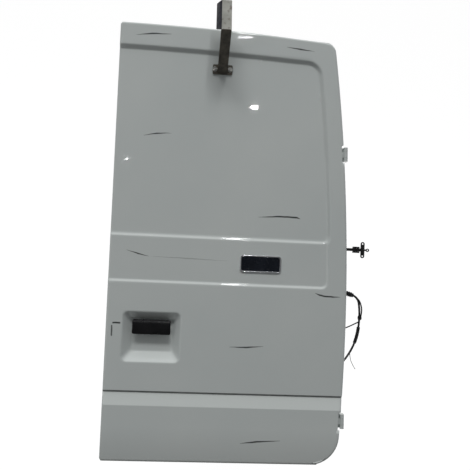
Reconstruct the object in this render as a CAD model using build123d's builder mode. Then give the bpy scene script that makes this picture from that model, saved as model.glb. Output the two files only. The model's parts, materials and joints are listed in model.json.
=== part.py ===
from build123d import *
import os
from math import atan2, cos, degrees, radians, sin, tan

os.makedirs("parts", exist_ok=True)

# Rear barn door of a camper van, seen from outside: u runs from the latch edge towards the hinges,
# v runs up from the bottom edge, depth runs inward from the flat of the outer face.

# Leaf outline
leaf_height = 1515.0
leaf_width = 836.0
foot_inset = 14.0
waist_height = 400.0
shoulder_inset = 21.0
shoulder_height = 1006.0
head_inset = 76.5
head_drop = 22.0
foot_corner_radius = 95.0
head_corner_radius = 32.0
latch_corner_radius = 8.0
run_out = 200.0

# Sheet metal and folded edge
skin_sheet = 1.5
panel_sheet = 1.5
edge_depth = 18.0
edge_radius = 8.0
hem_width = 12.0
seam_clearance = 0.3
cutter_over = 10.0
face_tolerance = 0.01

# Blank window pressing in the upper half
recess_depth = 12.0
recess_wall_run = 13.0
recess_top_border = 81.0
recess_hinge_border = 57.0
recess_sill_height = 765.0
recess_head_radius = 48.0
recess_sill_radius = 30.0
recess_floor_radius = 6.0
recess_rim_radius = 5.0
pressing_run_out = 60.0

# Shallower band below the window pressing
band_depth = 6.0
band_wall_run = 8.0
band_hinge_border = 84.0
band_foot_height = 609.0
band_corner_radius = 24.0
band_floor_radius = 4.0
band_rim_radius = 4.0
band_overlap = 25.0

# Crease across the lower half
crease_height = 236.0
crease_depth = 8.0
crease_ledge_run = 4.5
crease_slope_run = 50.0

# Handle pocket
pocket_left = 56.0
pocket_right = 257.0
pocket_bottom = 334.0
pocket_top = 508.0
pocket_depth = 34.0
pocket_run_left = 31.0
pocket_run_right = 28.0
pocket_run_bottom = 45.0
pocket_run_top = 26.0
pocket_corner_radius = 22.0
pocket_floor_corner_radius = 12.0
pocket_rim_radius = 7.0
pocket_floor_radius = 6.0
pocket_wall_spread = 0.8

# Handle
lever_width = 132.0
lever_height = 51.0
lever_left = 90.0
lever_top = 484.0
lever_front_depth = 2.0
lever_thickness = 9.0
lever_corner_radius = 6.0
handle_pivot_below_top = 12.0
handle_pivot_depth = 22.0
handle_knuckle_radius = 6.5
handle_pin_radius = 3.0
handle_pin_clearance = 0.06
carrier_base_thickness = 4.0
carrier_ear_thickness = 6.0
carrier_ear_gap = 1.5
carrier_ear_radius = 6.5
carrier_overhang = 8.0

# Blank plate at the badge's place
badge_width = 145.0
badge_height = 60.0
badge_centre_u = 525.0
badge_centre_v = 691.0
badge_corner_radius = 12.0
badge_rim_width = 5.0
badge_rim_height = 5.0
badge_plate_height = 3.5
badge_plate_clearance = 0.1

# Inner panel
box_latch_border = 40.0
box_hinge_border = 52.0
box_top_border = 58.0
box_bottom_border = 60.0
box_depth = 48.0
box_corner_radius = 60.0
box_edge_radius = 8.0
aperture_latch_border = 95.0
aperture_hinge_border = 112.0
aperture_top_border = 140.0
aperture_sill_height = 850.0
aperture_corner_radius = 60.0
aperture_lip_depth = 14.0
sill_joint_drop = 12.0
corner_joint_run = 6.0
hollow_over = 5.0

# Brace behind the window pressing
brace_above_sill = 335.0
brace_crown_width = 36.0
brace_foot_width = 48.0
brace_flange_width = 16.0
brace_rise = 16.0
brace_end_border = 60.0

# Lining board
trim_thickness = 3.0
trim_latch_border = 68.0
trim_hinge_border = 84.0
trim_foot_height = 92.0
trim_head_height = 735.0
trim_corner_radius = 30.0

# Seal along the latch edge
seal_width = 10.0
seal_height = 11.0
seal_offset = 25.0
seal_foot_height = 75.0
seal_head_border = 80.0

# Latch in the latch-side wall
latch_height = 465.0
latch_plate_height = 74.0
latch_plate_thickness = 3.0
latch_plate_start = 19.0
latch_plate_width = 20.0
latch_plate_radius = 4.0
latch_window_height = 44.0
latch_case_height = 60.0
latch_case_width = 26.0
latch_slot_height = 12.0
latch_slot_start = 28.0
latch_slot_reach = 22.0
latch_bay_margin = 38.0
claw_radius = 10.0
claw_thickness = 5.6
claw_mouth = 8.4
claw_clearance = 0.4
claw_cover = 6.0

# Hinges
upper_hinge_drop = 422.0
lower_hinge_height = 152.0
hinge_stand_off = 6.0
hinge_axis_depth = 9.0
hinge_barrel_radius = 7.0
hinge_pin_radius = 4.0
hinge_pin_clearance = 0.06
hinge_outer_knuckle = 14.0
hinge_inner_knuckle = 21.0
hinge_knuckle_gap = 0.5
hinge_strap_thickness = 5.0
hinge_strap_reach = 48.0
hinge_plate_thickness = 5.0
hinge_plate_reach = 48.0
hinge_plate_clearance = 5.5
hinge_spine_clearance = 2.0
hinge_bolt_radius = 4.5
hinge_bolt_spacing = 28.0
notch_depth = 8.0
notch_height = 62.0
notch_corner_radius = 6.0
strap_slot_clearance = 1.0

# Door check
check_height = 757.0
check_depth = 33.0
check_strap_height = 10.0
check_strap_thickness = 6.0
check_strap_tail = 240.0
check_pivot_reach = 46.0
check_strap_clearance = 0.3
check_fork_height = 22.0
check_fork_radius = 7.0
check_tongue_clearance = 0.3
check_pin_radius = 3.0
check_pin_clearance = 0.06
check_plate_offset = 18.0
check_plate_width = 14.0
check_plate_height = 58.0
check_plate_thickness = 5.0
check_plate_hole_radius = 3.0
check_eye_offset = 36.0
check_eye_radius = 6.0
check_eye_hole_radius = 2.6
check_housing_length = 44.0
check_housing_height = 40.0
check_housing_wall_gap = 12.0
check_wall_slot_clearance = 4.0
check_fork_throat = 1.0
check_fork_length = 17.5
check_tongue_margin = 0.5

# Support arm
support_centre_u = 362.0
support_foot_drop = 146.0
foot_plate_width = 70.0
foot_plate_height = 34.0
foot_plate_thickness = 6.0
foot_plate_radius = 5.0
arm_width = 34.0
arm_section = 26.0
arm_wall = 3.0
arm_flank_width = 16.0
arm_flank_edge = 6.0
arm_start_lift = 3.0
arm_knee_rise = 90.0
arm_knee_reach = 132.0
arm_end_rise = 110.0
arm_end_reach = 84.0
support_bolt_radius = 4.0
support_bolt_clearance = 0.3
support_bolt_head = 13.0
support_bolt_head_height = 5.5
support_bolt_edge = 8.5
support_nut_height = 6.5
support_nut_clearance = 0.1
support_bolt_tail = 4.0

# Wiring loom
loom_depth = 33.0
gaiter_height = 612.0
gaiter_radius = 9.5
gaiter_flange_radius = 15.0
gaiter_flange_thickness = 3.0
gaiter_tip = (866.0, 593.0)
gaiter_bend = (806.0, 612.0)
gaiter_hole_clearance = 0.2
gaiter_inner_run = 6.0
loom_main_radius = 4.0
loom_strand_radius = 2.5
loom_branch_radius = 2.2
loom_tail_radius = 1.2
knot_radius = 7.5
knot_length = 15.0
knot_start = (893.0, 507.0, 35.0)
grommet_height = 328.0
grommet_radius = 9.0
branch_grommet_height = 466.0
branch_grommet_radius = 6.0
grommet_flange = 3.5
grommet_flange_thickness = 2.5
grommet_plug = 5.0


# Values shared by several pieces
flange_depth = edge_depth - skin_sheet - panel_sheet
hinge_strap_depth = flange_depth - hinge_strap_thickness
upper_hinge_height = leaf_height - upper_hinge_drop
brace_height = recess_sill_height + brace_above_sill
support_foot_height = leaf_height - support_foot_drop
support_bolt_places = [
    (support_centre_u - foot_plate_width / 2 + support_bolt_edge, support_foot_height),
    (support_centre_u + foot_plate_width / 2 - support_bolt_edge, support_foot_height),
]
wall_holes = [
    (gaiter_height, gaiter_radius),
    (grommet_height, grommet_radius),
    (branch_grommet_height, branch_grommet_radius),
]


# Leaf outline with sharp corners, run out past the latch edge
leaf_head = (leaf_width - head_inset, leaf_height - head_drop)
with BuildSketch() as leaf_blank:
    with BuildLine():
        Line((-run_out, 0), (leaf_width - foot_inset, 0))
        hinge_edge = ThreePointArc(
            (leaf_width - foot_inset, 0),
            (leaf_width, waist_height),
            (leaf_width - shoulder_inset, shoulder_height),
        )
        TangentArc(hinge_edge @ 1, leaf_head, tangent=hinge_edge % 1)
        TangentArc((0, leaf_height), leaf_head, tangent=(1, 0))
        Line((0, leaf_height), (-run_out, leaf_height))
        Line((-run_out, leaf_height), (-run_out, 0))
    make_face()


# Position of the hinge edge at height v
def edge_at(v):
    with BuildSketch() as strip:
        add(leaf_blank.sketch)
        with Locations((leaf_width / 2, v)):
            Rectangle(2 * leaf_width, 0.01, mode=Mode.INTERSECT)
    return strip.sketch.bounding_box().max.X


# Position of the hinge line at height v: it stands off the edge alike at both hinges
def axis_at(v):
    return edge_at(v) + hinge_stand_off


# The hinge line leans with the door's edge, in the plane of the door
hinge_line_run = axis_at(lower_hinge_height) - axis_at(upper_hinge_height)
hinge_lean = degrees(atan2(hinge_line_run, upper_hinge_height - lower_hinge_height))
hinge_plate_depth = edge_depth + hinge_plate_clearance
hinge_seat_depth = hinge_plate_depth + hinge_plate_thickness
hinge_plate_offset = (hinge_plate_reach - hinge_barrel_radius) / 2
hinge_seat_run = hinge_plate_offset * cos(radians(hinge_lean))
hinge_seat_drop = hinge_plate_offset * sin(radians(hinge_lean))

# The door stands with the origin on the middle of the lower hinge's mounting face
origin_u = axis_at(lower_hinge_height) - hinge_seat_run
origin_v = lower_hinge_height - hinge_seat_drop
origin_depth = hinge_seat_depth

face = Plane(origin=(-origin_u, -origin_depth, -origin_v), x_dir=(1, 0, 0), z_dir=(0, -1, 0))


# Plane parallel to the face; sketches on it read (u, v) and extrude outward
def at_depth(depth):
    return face.offset(-depth)


# Upright plane across the door; sketches on it read (depth, v) and extrude towards the hinges
def section_at(u):
    return Plane(origin=(u - origin_u, -origin_depth, -origin_v), x_dir=(0, 1, 0), z_dir=(1, 0, 0))


# Level plane; sketches on it read (u, depth) and extrude upward
def level_at(v):
    return Plane(origin=(-origin_u, -origin_depth, v - origin_v), x_dir=(1, 0, 0), z_dir=(0, 0, 1))


# Point of the door in the shared frame
def place(u, v, depth):
    return (u - origin_u, depth - origin_depth, v - origin_v)


# Outline that follows the hinge edge and the top edge at their own borders
def follow_outline(left, hinge_border, top_border, bottom, top=2 * leaf_height):
    with BuildSketch() as drawn:
        with Locations((-hinge_border, 0)):
            add(leaf_blank.sketch)
        with Locations((0, -top_border)):
            add(leaf_blank.sketch, mode=Mode.INTERSECT)
        with Locations((left, bottom)):
            Rectangle(2 * leaf_width, top - bottom, align=(Align.MIN, Align.MIN), mode=Mode.INTERSECT)
    return drawn.sketch


# Leaf outline with its corners, drawn inward by one amount all round
def leaf_inset(inset):
    with BuildSketch() as drawn:
        add(follow_outline(inset, inset, inset, inset))
        fillet(drawn.vertices().sort_by_distance((leaf_width, 0))[0], foot_corner_radius - inset)
        fillet(drawn.vertices().sort_by_distance(leaf_head)[0], head_corner_radius - inset)
        fillet(drawn.vertices().sort_by(Axis.X)[:2], max(latch_corner_radius - inset, 1.0))
    return drawn.sketch


def recess_outline(grow, run, head_radius, sill_radius):
    with BuildSketch() as drawn:
        add(
            follow_outline(
                -pressing_run_out,
                recess_hinge_border + run - grow,
                recess_top_border + run - grow,
                recess_sill_height + run - grow,
            )
        )
        fillet(drawn.vertices().sort_by_distance((leaf_width, leaf_height))[0], head_radius)
        fillet(drawn.vertices().sort_by_distance((leaf_width, recess_sill_height))[0], sill_radius)
    return drawn.sketch


def band_outline(grow, run, corner_radius):
    with BuildSketch() as drawn:
        add(
            follow_outline(
                -pressing_run_out,
                band_hinge_border + run - grow,
                0,
                band_foot_height + run - grow,
                recess_sill_height + band_overlap,
            )
        )
        fillet(drawn.vertices().sort_by_distance((leaf_width, band_foot_height))[0], corner_radius)
    return drawn.sketch


# Tool for the window pressing; grow is the sheet thickness on the back of the sheet
def recess_tool(grow):
    side = grow * tan(radians(22.5))
    with BuildPart() as tool:
        with BuildSketch(at_depth(grow)):
            add(recess_outline(side, 0, recess_head_radius, recess_sill_radius))
        with BuildSketch(at_depth(grow + recess_depth)):
            add(
                recess_outline(
                    side,
                    recess_wall_run,
                    recess_head_radius - recess_wall_run,
                    recess_sill_radius - recess_wall_run,
                )
            )
        loft(ruled=True)
        fillet(tool.faces().sort_by(Axis.Y)[-1].edges(), recess_floor_radius)
        with BuildSketch(at_depth(grow)):
            add(recess_outline(side, 0, recess_head_radius, recess_sill_radius))
        extrude(amount=cutter_over)
    return tool.part


def band_tool(grow):
    side = grow * tan(radians(22.5))
    with BuildPart() as tool:
        with BuildSketch(at_depth(grow)):
            add(band_outline(side, 0, band_corner_radius))
        with BuildSketch(at_depth(grow + band_depth)):
            add(band_outline(side, band_wall_run, band_corner_radius - band_wall_run))
        loft(ruled=True)
        fillet(tool.faces().sort_by(Axis.Y)[-1].edges(), band_floor_radius)
        with BuildSketch(at_depth(grow)):
            add(band_outline(side, 0, band_corner_radius))
        extrude(amount=cutter_over)
    return tool.part


def crease_tool(grow):
    lift = grow * tan(radians(30))
    with BuildPart() as tool:
        with BuildSketch(section_at(-pressing_run_out)):
            with BuildLine():
                Polyline(
                    (grow - cutter_over, crease_height + lift),
                    (grow, crease_height + lift),
                    (grow + crease_depth, crease_height - crease_ledge_run + lift),
                    (grow, crease_height - crease_slope_run),
                    (grow - cutter_over, crease_height - crease_slope_run),
                    close=True,
                )
            make_face()
        extrude(amount=leaf_width + 2 * pressing_run_out)
    return tool.part


pocket_centre_u = (pocket_left + pocket_right) / 2
pocket_centre_v = (pocket_bottom + pocket_top) / 2
pocket_floor_left = pocket_left + pocket_run_left
pocket_floor_right = pocket_right - pocket_run_right
pocket_floor_bottom = pocket_bottom + pocket_run_bottom
pocket_floor_top = pocket_top - pocket_run_top
pocket_floor_centre_u = (pocket_floor_left + pocket_floor_right) / 2
pocket_floor_centre_v = (pocket_floor_bottom + pocket_floor_top) / 2


def pocket_tool(grow):
    side = grow * pocket_wall_spread
    rise = 0.0 if grow else cutter_over
    with BuildPart() as tool:
        with BuildSketch(at_depth(grow / 3)):
            with Locations((pocket_centre_u, pocket_centre_v)):
                RectangleRounded(
                    pocket_right - pocket_left + 2 * side,
                    pocket_top - pocket_bottom + 2 * side,
                    pocket_corner_radius + side,
                )
        with BuildSketch(at_depth(pocket_depth + grow)):
            with Locations((pocket_floor_centre_u, pocket_floor_centre_v)):
                RectangleRounded(
                    pocket_floor_right - pocket_floor_left + 2 * side,
                    pocket_floor_top - pocket_floor_bottom + 2 * side,
                    pocket_floor_corner_radius + side,
                )
        loft(ruled=True)
        fillet(tool.faces().sort_by(Axis.Y)[-1].edges(), pocket_floor_radius)
        if rise:
            with BuildSketch(at_depth(0)):
                with Locations((pocket_centre_u, pocket_centre_v)):
                    RectangleRounded(
                        pocket_right - pocket_left,
                        pocket_top - pocket_bottom,
                        pocket_corner_radius,
                    )
            extrude(amount=rise)
    return tool.part


def notch_tool(v, grow):
    edge = edge_at(v)
    with BuildPart() as tool:
        with BuildSketch(at_depth(edge_depth + cutter_over)):
            with Locations((edge - notch_depth - grow, v)):
                Rectangle(notch_height, notch_height + 2 * grow, align=(Align.MIN, Align.CENTER))
        extrude(amount=edge_depth + 2 * cutter_over)
        inner = tool.edges().filter_by(Axis.Y).group_by(Axis.X)[0]
        fillet(inner, notch_corner_radius + grow)
    return tool.part


# Hollow behind the pressed sheet
with BuildPart() as skin_core:
    with BuildSketch(at_depth(skin_sheet)):
        add(leaf_inset(skin_sheet))
    extrude(amount=skin_sheet - (edge_depth - skin_sheet))
    fillet(skin_core.faces().sort_by(Axis.Y)[0].edges(), edge_radius - skin_sheet)
    with BuildSketch(at_depth(edge_depth - 2 * skin_sheet)):
        add(leaf_inset(hem_width))
    extrude(amount=-3 * skin_sheet)
    add(recess_tool(skin_sheet), mode=Mode.SUBTRACT)
    add(band_tool(skin_sheet), mode=Mode.SUBTRACT)
    add(crease_tool(skin_sheet), mode=Mode.SUBTRACT)
    add(pocket_tool(skin_sheet), mode=Mode.SUBTRACT)
    add(notch_tool(upper_hinge_height, skin_sheet), mode=Mode.SUBTRACT)
    add(notch_tool(lower_hinge_height, skin_sheet), mode=Mode.SUBTRACT)


# Edges in the flat of the outer face whose middles lie in a rectangle, apart from the leaf's own edge
def rim_edges(pressed, left, right, bottom, top):
    in_face = pressed.edges().filter_by_position(Axis.Y, *within(-origin_depth, -origin_depth))
    in_height = in_face.filter_by_position(Axis.Z, *within(bottom - origin_v, top - origin_v))
    in_width = in_height.filter_by_position(Axis.X, *within(left - origin_u, right - origin_u))
    return in_width.filter_by(inside_hem)


def within(low, high):
    return low - face_tolerance, high + face_tolerance


def inside_hem(rim):
    middle = rim.center()
    return middle.X + origin_u < edge_at(middle.Z + origin_v) - hem_width


# Outer skin: pressed sheet with its folded edge, recesses, crease, handle pocket and hinge notches
with BuildPart() as outer_skin:
    with BuildSketch(at_depth(0)):
        add(leaf_inset(0))
    extrude(amount=-edge_depth)
    fillet(outer_skin.faces().sort_by(Axis.Y)[0].edges(), edge_radius)
    add(recess_tool(0), mode=Mode.SUBTRACT)
    add(band_tool(0), mode=Mode.SUBTRACT)
    add(crease_tool(0), mode=Mode.SUBTRACT)
    add(pocket_tool(skin_sheet))
    add(skin_core.part, mode=Mode.SUBTRACT)
    add(pocket_tool(0), mode=Mode.SUBTRACT)
    fillet(rim_edges(outer_skin, pocket_left, pocket_right, pocket_bottom, pocket_top), pocket_rim_radius)
    window_top = leaf_height - recess_top_border + seam_clearance
    window_foot = recess_sill_height + band_overlap
    fillet(rim_edges(outer_skin, recess_head_radius, leaf_width, window_foot, window_top), recess_rim_radius)
    band_corner_top = band_foot_height + band_corner_radius
    fillet(rim_edges(outer_skin, 0, leaf_width, band_foot_height, band_corner_top), band_rim_radius)
    for hinge_height in (upper_hinge_height, lower_hinge_height):
        add(notch_tool(hinge_height, 0), mode=Mode.SUBTRACT)
        with BuildSketch(level_at(hinge_height)):
            with Locations((edge_at(hinge_height) - notch_depth, hinge_strap_depth - strap_slot_clearance)):
                Rectangle(
                    6 * skin_sheet,
                    hinge_strap_thickness + strap_slot_clearance,
                    align=(Align.CENTER, Align.MIN),
                )
        extrude(amount=hinge_inner_knuckle / 2 + strap_slot_clearance, both=True, mode=Mode.SUBTRACT)
    with BuildSketch(at_depth(recess_depth + cutter_over)):
        with Locations(*support_bolt_places):
            Circle(support_bolt_radius + support_bolt_clearance)
    extrude(amount=2 * cutter_over, mode=Mode.SUBTRACT)
outer_skin.part.label = "outer_skin"
export_step(outer_skin.part, "parts/outer_skin.step")


# Inner panel: flange inside the folded edge, box, open upper aperture with a turned lip
def box_outline(inset):
    with BuildSketch() as drawn:
        add(
            follow_outline(
                box_latch_border + inset,
                box_hinge_border + inset,
                box_top_border + inset,
                box_bottom_border + inset,
            )
        )
        corners = drawn.vertices().sort_by_distance((leaf_width - shoulder_inset, shoulder_height))[1:]
        fillet(corners, box_corner_radius - inset)
    return drawn.sketch


def aperture_outline(grow):
    with BuildSketch() as drawn:
        add(
            follow_outline(
                aperture_latch_border - grow,
                aperture_hinge_border - grow,
                aperture_top_border - grow,
                aperture_sill_height - grow,
            )
        )
        corners = drawn.vertices().sort_by_distance((leaf_width - shoulder_inset, shoulder_height))[1:]
        fillet(corners, aperture_corner_radius + grow)
    return drawn.sketch


# Plane of the hinge-side wall of the box at height v
def wall_plane(v, depth):
    slope = edge_at(v + 5) - edge_at(v - 5)
    return Plane(
        origin=place(edge_at(v) - box_hinge_border, v, depth),
        x_dir=(0, 1, 0),
        z_dir=(10, 0, -slope),
    )


latch_slot_end = box_depth + cutter_over

# Hollow inside the inner panel's box
with BuildPart() as panel_hollow:
    with BuildSketch(at_depth(flange_depth - hollow_over)):
        add(box_outline(panel_sheet))
    extrude(amount=-(box_depth - panel_sheet - flange_depth + hollow_over))
    fillet(panel_hollow.faces().sort_by(Axis.Y)[-1].edges(), box_edge_radius - panel_sheet)

# Whole inner panel, before it is parted into its pressings
with BuildPart() as panel_whole:
    with BuildSketch(at_depth(flange_depth)):
        add(leaf_inset(skin_sheet + seam_clearance))
    extrude(amount=-panel_sheet)
    with BuildSketch(at_depth(flange_depth)):
        add(box_outline(0))
    extrude(amount=-(box_depth - flange_depth))
    fillet(panel_whole.faces().sort_by(Axis.Y)[-1].edges(), box_edge_radius)
    add(panel_hollow.part, mode=Mode.SUBTRACT)
    with BuildSketch(at_depth(box_depth - aperture_lip_depth)):
        add(aperture_outline(panel_sheet))
    extrude(amount=-(aperture_lip_depth - panel_sheet / 2))
    with BuildSketch(at_depth(box_depth - aperture_lip_depth - cutter_over)):
        add(aperture_outline(0))
    extrude(amount=-(aperture_lip_depth + 2 * cutter_over), mode=Mode.SUBTRACT)
    for hinge_height in (upper_hinge_height, lower_hinge_height):
        add(notch_tool(hinge_height, skin_sheet + seam_clearance), mode=Mode.SUBTRACT)
    with BuildSketch(wall_plane(check_height, check_depth)):
        Rectangle(
            check_strap_thickness + 2 * check_wall_slot_clearance,
            check_strap_height + 2 * check_wall_slot_clearance,
        )
    extrude(amount=cutter_over, both=True, mode=Mode.SUBTRACT)
    for wall_height, radius in wall_holes:
        with BuildSketch(wall_plane(wall_height, loom_depth)):
            Circle(radius + gaiter_hole_clearance)
        extrude(amount=gaiter_inner_run, both=True, mode=Mode.SUBTRACT)
    with BuildSketch(section_at(box_latch_border - cutter_over)):
        with Locations((latch_slot_start, latch_height)):
            Rectangle(
                latch_slot_end - latch_slot_start,
                latch_window_height,
                align=(Align.MIN, Align.CENTER),
            )
    extrude(amount=cutter_over + latch_slot_reach, mode=Mode.SUBTRACT)


# One pressing of the inner panel, cut from the whole along its weld lines
def panel_pressing(left, right, bottom, top):
    with BuildPart() as pressing:
        add(panel_whole.part)
        with BuildSketch(at_depth(box_depth + cutter_over)):
            with Locations(((left + right) / 2, (bottom + top) / 2)):
                Rectangle(right - left, top - bottom)
        extrude(amount=box_depth + 2 * cutter_over, mode=Mode.INTERSECT)
    return pressing.part


sill_joint = aperture_sill_height - sill_joint_drop
stile_foot = aperture_sill_height + aperture_corner_radius + corner_joint_run
stile_head = leaf_height - aperture_top_border - head_drop - aperture_corner_radius - corner_joint_run
stile_split = leaf_width / 2
bay_reach = box_latch_border + latch_slot_reach + latch_bay_margin
bay_height = latch_window_height + 2 * latch_bay_margin

# Lower pan of the inner panel, with the holes for the check strap and the wiring
with BuildPart() as inner_panel:
    add(panel_pressing(0, leaf_width, 0, sill_joint))
    with BuildSketch(at_depth(box_depth + cutter_over)):
        with Locations((bay_reach / 2, latch_height)):
            Rectangle(bay_reach, bay_height)
    extrude(amount=box_depth + 2 * cutter_over, mode=Mode.SUBTRACT)
inner_panel.part.label = "inner_panel"
export_step(inner_panel.part, "parts/inner_panel.step")

# Pressing round the latch window, let into the lower pan
with BuildPart() as latch_bay:
    add(
        panel_pressing(
            0,
            bay_reach,
            latch_height - bay_height / 2,
            latch_height + bay_height / 2,
        )
    )
latch_bay.part.label = "latch_bay"
export_step(latch_bay.part, "parts/latch_bay.step")

# Rail under the window aperture, with its lower corners
with BuildPart() as sill_rail:
    add(panel_pressing(0, leaf_width, sill_joint, stile_foot))
sill_rail.part.label = "sill_rail"
export_step(sill_rail.part, "parts/sill_rail.step")

# Upright beside the aperture on the latch side
with BuildPart() as latch_stile:
    add(panel_pressing(0, stile_split, stile_foot, stile_head))
latch_stile.part.label = "latch_stile"
export_step(latch_stile.part, "parts/latch_stile.step")

# Upright beside the aperture on the hinge side
with BuildPart() as hinge_stile:
    add(panel_pressing(stile_split, leaf_width, stile_foot, stile_head))
hinge_stile.part.label = "hinge_stile"
export_step(hinge_stile.part, "parts/hinge_stile.step")

# Rail over the aperture, with its upper corners
with BuildPart() as header_rail:
    add(panel_pressing(0, leaf_width, stile_head, leaf_height))
header_rail.part.label = "header_rail"
export_step(header_rail.part, "parts/header_rail.step")

# Brace: hat section bonded to the back of the window pressing
brace_seat = recess_depth + skin_sheet
brace_top = brace_seat + brace_rise
brace_flange = brace_seat + panel_sheet
half_foot = brace_foot_width / 2
half_crown = brace_crown_width / 2
half_all = half_foot + brace_flange_width
half_outline = [
    (brace_seat, half_foot - panel_sheet),
    (brace_seat, half_all),
    (brace_flange, half_all),
    (brace_flange, half_foot),
    (brace_top, half_crown),
]
brace_upper = [(depth, brace_height + rise) for depth, rise in half_outline]
brace_lower = [(depth, brace_height - rise) for depth, rise in reversed(half_outline)]
brace_hollow = [
    (brace_top - panel_sheet, brace_height - half_crown + panel_sheet),
    (brace_top - panel_sheet, brace_height + half_crown - panel_sheet),
]
with BuildPart() as upper_brace:
    with BuildSketch(section_at(box_latch_border + brace_end_border)):
        Polygon(*brace_upper, *brace_lower, *brace_hollow, align=None)
    extrude(amount=edge_at(brace_height) - box_hinge_border - box_latch_border - 2 * brace_end_border)
upper_brace.part.label = "upper_brace"
export_step(upper_brace.part, "parts/upper_brace.step")

# Lining board over the closed lower half
with BuildPart() as trim_panel:
    with BuildSketch(at_depth(box_depth)) as board:
        add(
            follow_outline(
                trim_latch_border,
                trim_hinge_border,
                0,
                trim_foot_height,
                trim_head_height,
            )
        )
        fillet(board.vertices(), trim_corner_radius)
    extrude(amount=-trim_thickness)
trim_panel.part.label = "trim_panel"
export_step(trim_panel.part, "parts/trim_panel.step")

# Rubber strip along the back of the latch edge
seal_seat = flange_depth + panel_sheet
with BuildPart() as centre_seal:
    with BuildSketch(level_at(seal_foot_height)):
        with Locations((seal_offset, seal_seat)):
            Rectangle(seal_width, seal_height - seal_width / 2, align=(Align.CENTER, Align.MIN))
        with Locations((seal_offset, seal_seat + seal_height - seal_width / 2)):
            Circle(seal_width / 2)
    extrude(amount=leaf_height - seal_head_border - seal_foot_height)
centre_seal.part.label = "centre_seal"
export_step(centre_seal.part, "parts/centre_seal.step")

# Latch: plate outside the latch-side wall, case inside it, claw in the case
with BuildPart() as latch_plate:
    with BuildSketch(section_at(box_latch_border)):
        with Locations((latch_plate_start + latch_plate_width / 2, latch_height)):
            RectangleRounded(latch_plate_width, latch_plate_height, latch_plate_radius)
        with Locations((latch_slot_start, latch_height)):
            Rectangle(
                latch_slot_end - latch_slot_start,
                latch_slot_height,
                align=(Align.MIN, Align.CENTER),
                mode=Mode.SUBTRACT,
            )
    extrude(amount=-latch_plate_thickness)
latch_plate.part.label = "latch_plate"
export_step(latch_plate.part, "parts/latch_plate.step")

claw_depth = latch_slot_start + claw_radius / 2
claw_start = box_latch_border + panel_sheet + claw_cover
with BuildPart() as latch_case:
    with BuildSketch(section_at(box_latch_border + panel_sheet)):
        with Locations((latch_plate_start, latch_height)):
            Rectangle(
                box_depth - panel_sheet - box_edge_radius - latch_plate_start,
                latch_case_height,
                align=(Align.MIN, Align.CENTER),
            )
    extrude(amount=latch_case_width)
    with BuildSketch(section_at(box_latch_border)):
        with Locations((latch_slot_start, latch_height)):
            Rectangle(
                latch_slot_end - latch_slot_start,
                latch_slot_height,
                align=(Align.MIN, Align.CENTER),
            )
    extrude(amount=latch_slot_reach, mode=Mode.SUBTRACT)
    with BuildSketch(section_at(claw_start)):
        with Locations((claw_depth, latch_height)):
            Circle(claw_radius + claw_clearance)
    extrude(amount=claw_thickness + claw_clearance, mode=Mode.SUBTRACT)
latch_case.part.label = "latch_case"
export_step(latch_case.part, "parts/latch_case.step")

with BuildPart() as latch_claw:
    with BuildSketch(section_at(claw_start)):
        with Locations((claw_depth, latch_height)):
            Circle(claw_radius)
            Rectangle(
                2 * claw_radius,
                claw_mouth,
                align=(Align.MIN, Align.CENTER),
                mode=Mode.SUBTRACT,
            )
    extrude(amount=claw_thickness)
latch_claw.part.label = "latch_claw"
export_step(latch_claw.part, "parts/latch_claw.step")

# Outside handle: carrier on the pocket floor, pin, lever
handle_pivot_v = lever_top - handle_pivot_below_top
lever_right = lever_left + lever_width
ear_left = lever_left + carrier_overhang
ear_right = lever_right - carrier_overhang
with BuildPart() as handle_carrier:
    with BuildSketch(section_at(ear_left)):
        with Locations((pocket_depth - carrier_base_thickness, handle_pivot_v)):
            Rectangle(
                carrier_base_thickness,
                2 * carrier_ear_radius,
                align=(Align.MIN, Align.CENTER),
            )
    extrude(amount=ear_right - ear_left)
    for ear_start in (ear_left, ear_right - carrier_ear_thickness):
        with BuildSketch(section_at(ear_start)):
            with Locations((handle_pivot_depth, handle_pivot_v)):
                Circle(carrier_ear_radius)
                Rectangle(
                    pocket_depth - handle_pivot_depth,
                    2 * carrier_ear_radius,
                    align=(Align.MIN, Align.CENTER),
                )
                Circle(handle_pin_radius, mode=Mode.SUBTRACT)
        extrude(amount=carrier_ear_thickness)
handle_carrier.part.label = "handle_carrier"
export_step(handle_carrier.part, "parts/handle_carrier.step")

with BuildPart() as handle_pin:
    with BuildSketch(section_at(ear_left)):
        with Locations((handle_pivot_depth, handle_pivot_v)):
            Circle(handle_pin_radius)
    extrude(amount=ear_right - ear_left)
handle_pin.part.label = "handle_pin"
export_step(handle_pin.part, "parts/handle_pin.step")

lever_bottom = lever_top - lever_height
lever_back_depth = lever_front_depth + lever_thickness
knuckle_left = ear_left + carrier_ear_thickness + carrier_ear_gap
knuckle_right = ear_right - carrier_ear_thickness - carrier_ear_gap
with BuildPart() as handle_lever:
    with BuildSketch(at_depth(lever_back_depth)):
        with Locations((lever_left + lever_width / 2, lever_top - lever_height / 2)):
            RectangleRounded(lever_width, lever_height, lever_corner_radius)
    extrude(amount=lever_thickness)
    fillet(handle_lever.faces().sort_by(Axis.Y)[0].edges(), lever_thickness / 3)
    with BuildSketch(section_at(knuckle_left)):
        with Locations((handle_pivot_depth, handle_pivot_v)):
            Circle(handle_knuckle_radius)
            Rectangle(
                handle_pivot_depth - lever_back_depth + lever_thickness / 2,
                2 * handle_knuckle_radius,
                align=(Align.MAX, Align.CENTER),
            )
    extrude(amount=knuckle_right - knuckle_left)
    with BuildSketch(section_at(knuckle_left)):
        with Locations((handle_pivot_depth, handle_pivot_v)):
            Circle(handle_pin_radius + handle_pin_clearance)
    extrude(amount=knuckle_right - knuckle_left, mode=Mode.SUBTRACT)
handle_lever.part.label = "handle_lever"
export_step(handle_lever.part, "parts/handle_lever.step")

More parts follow.
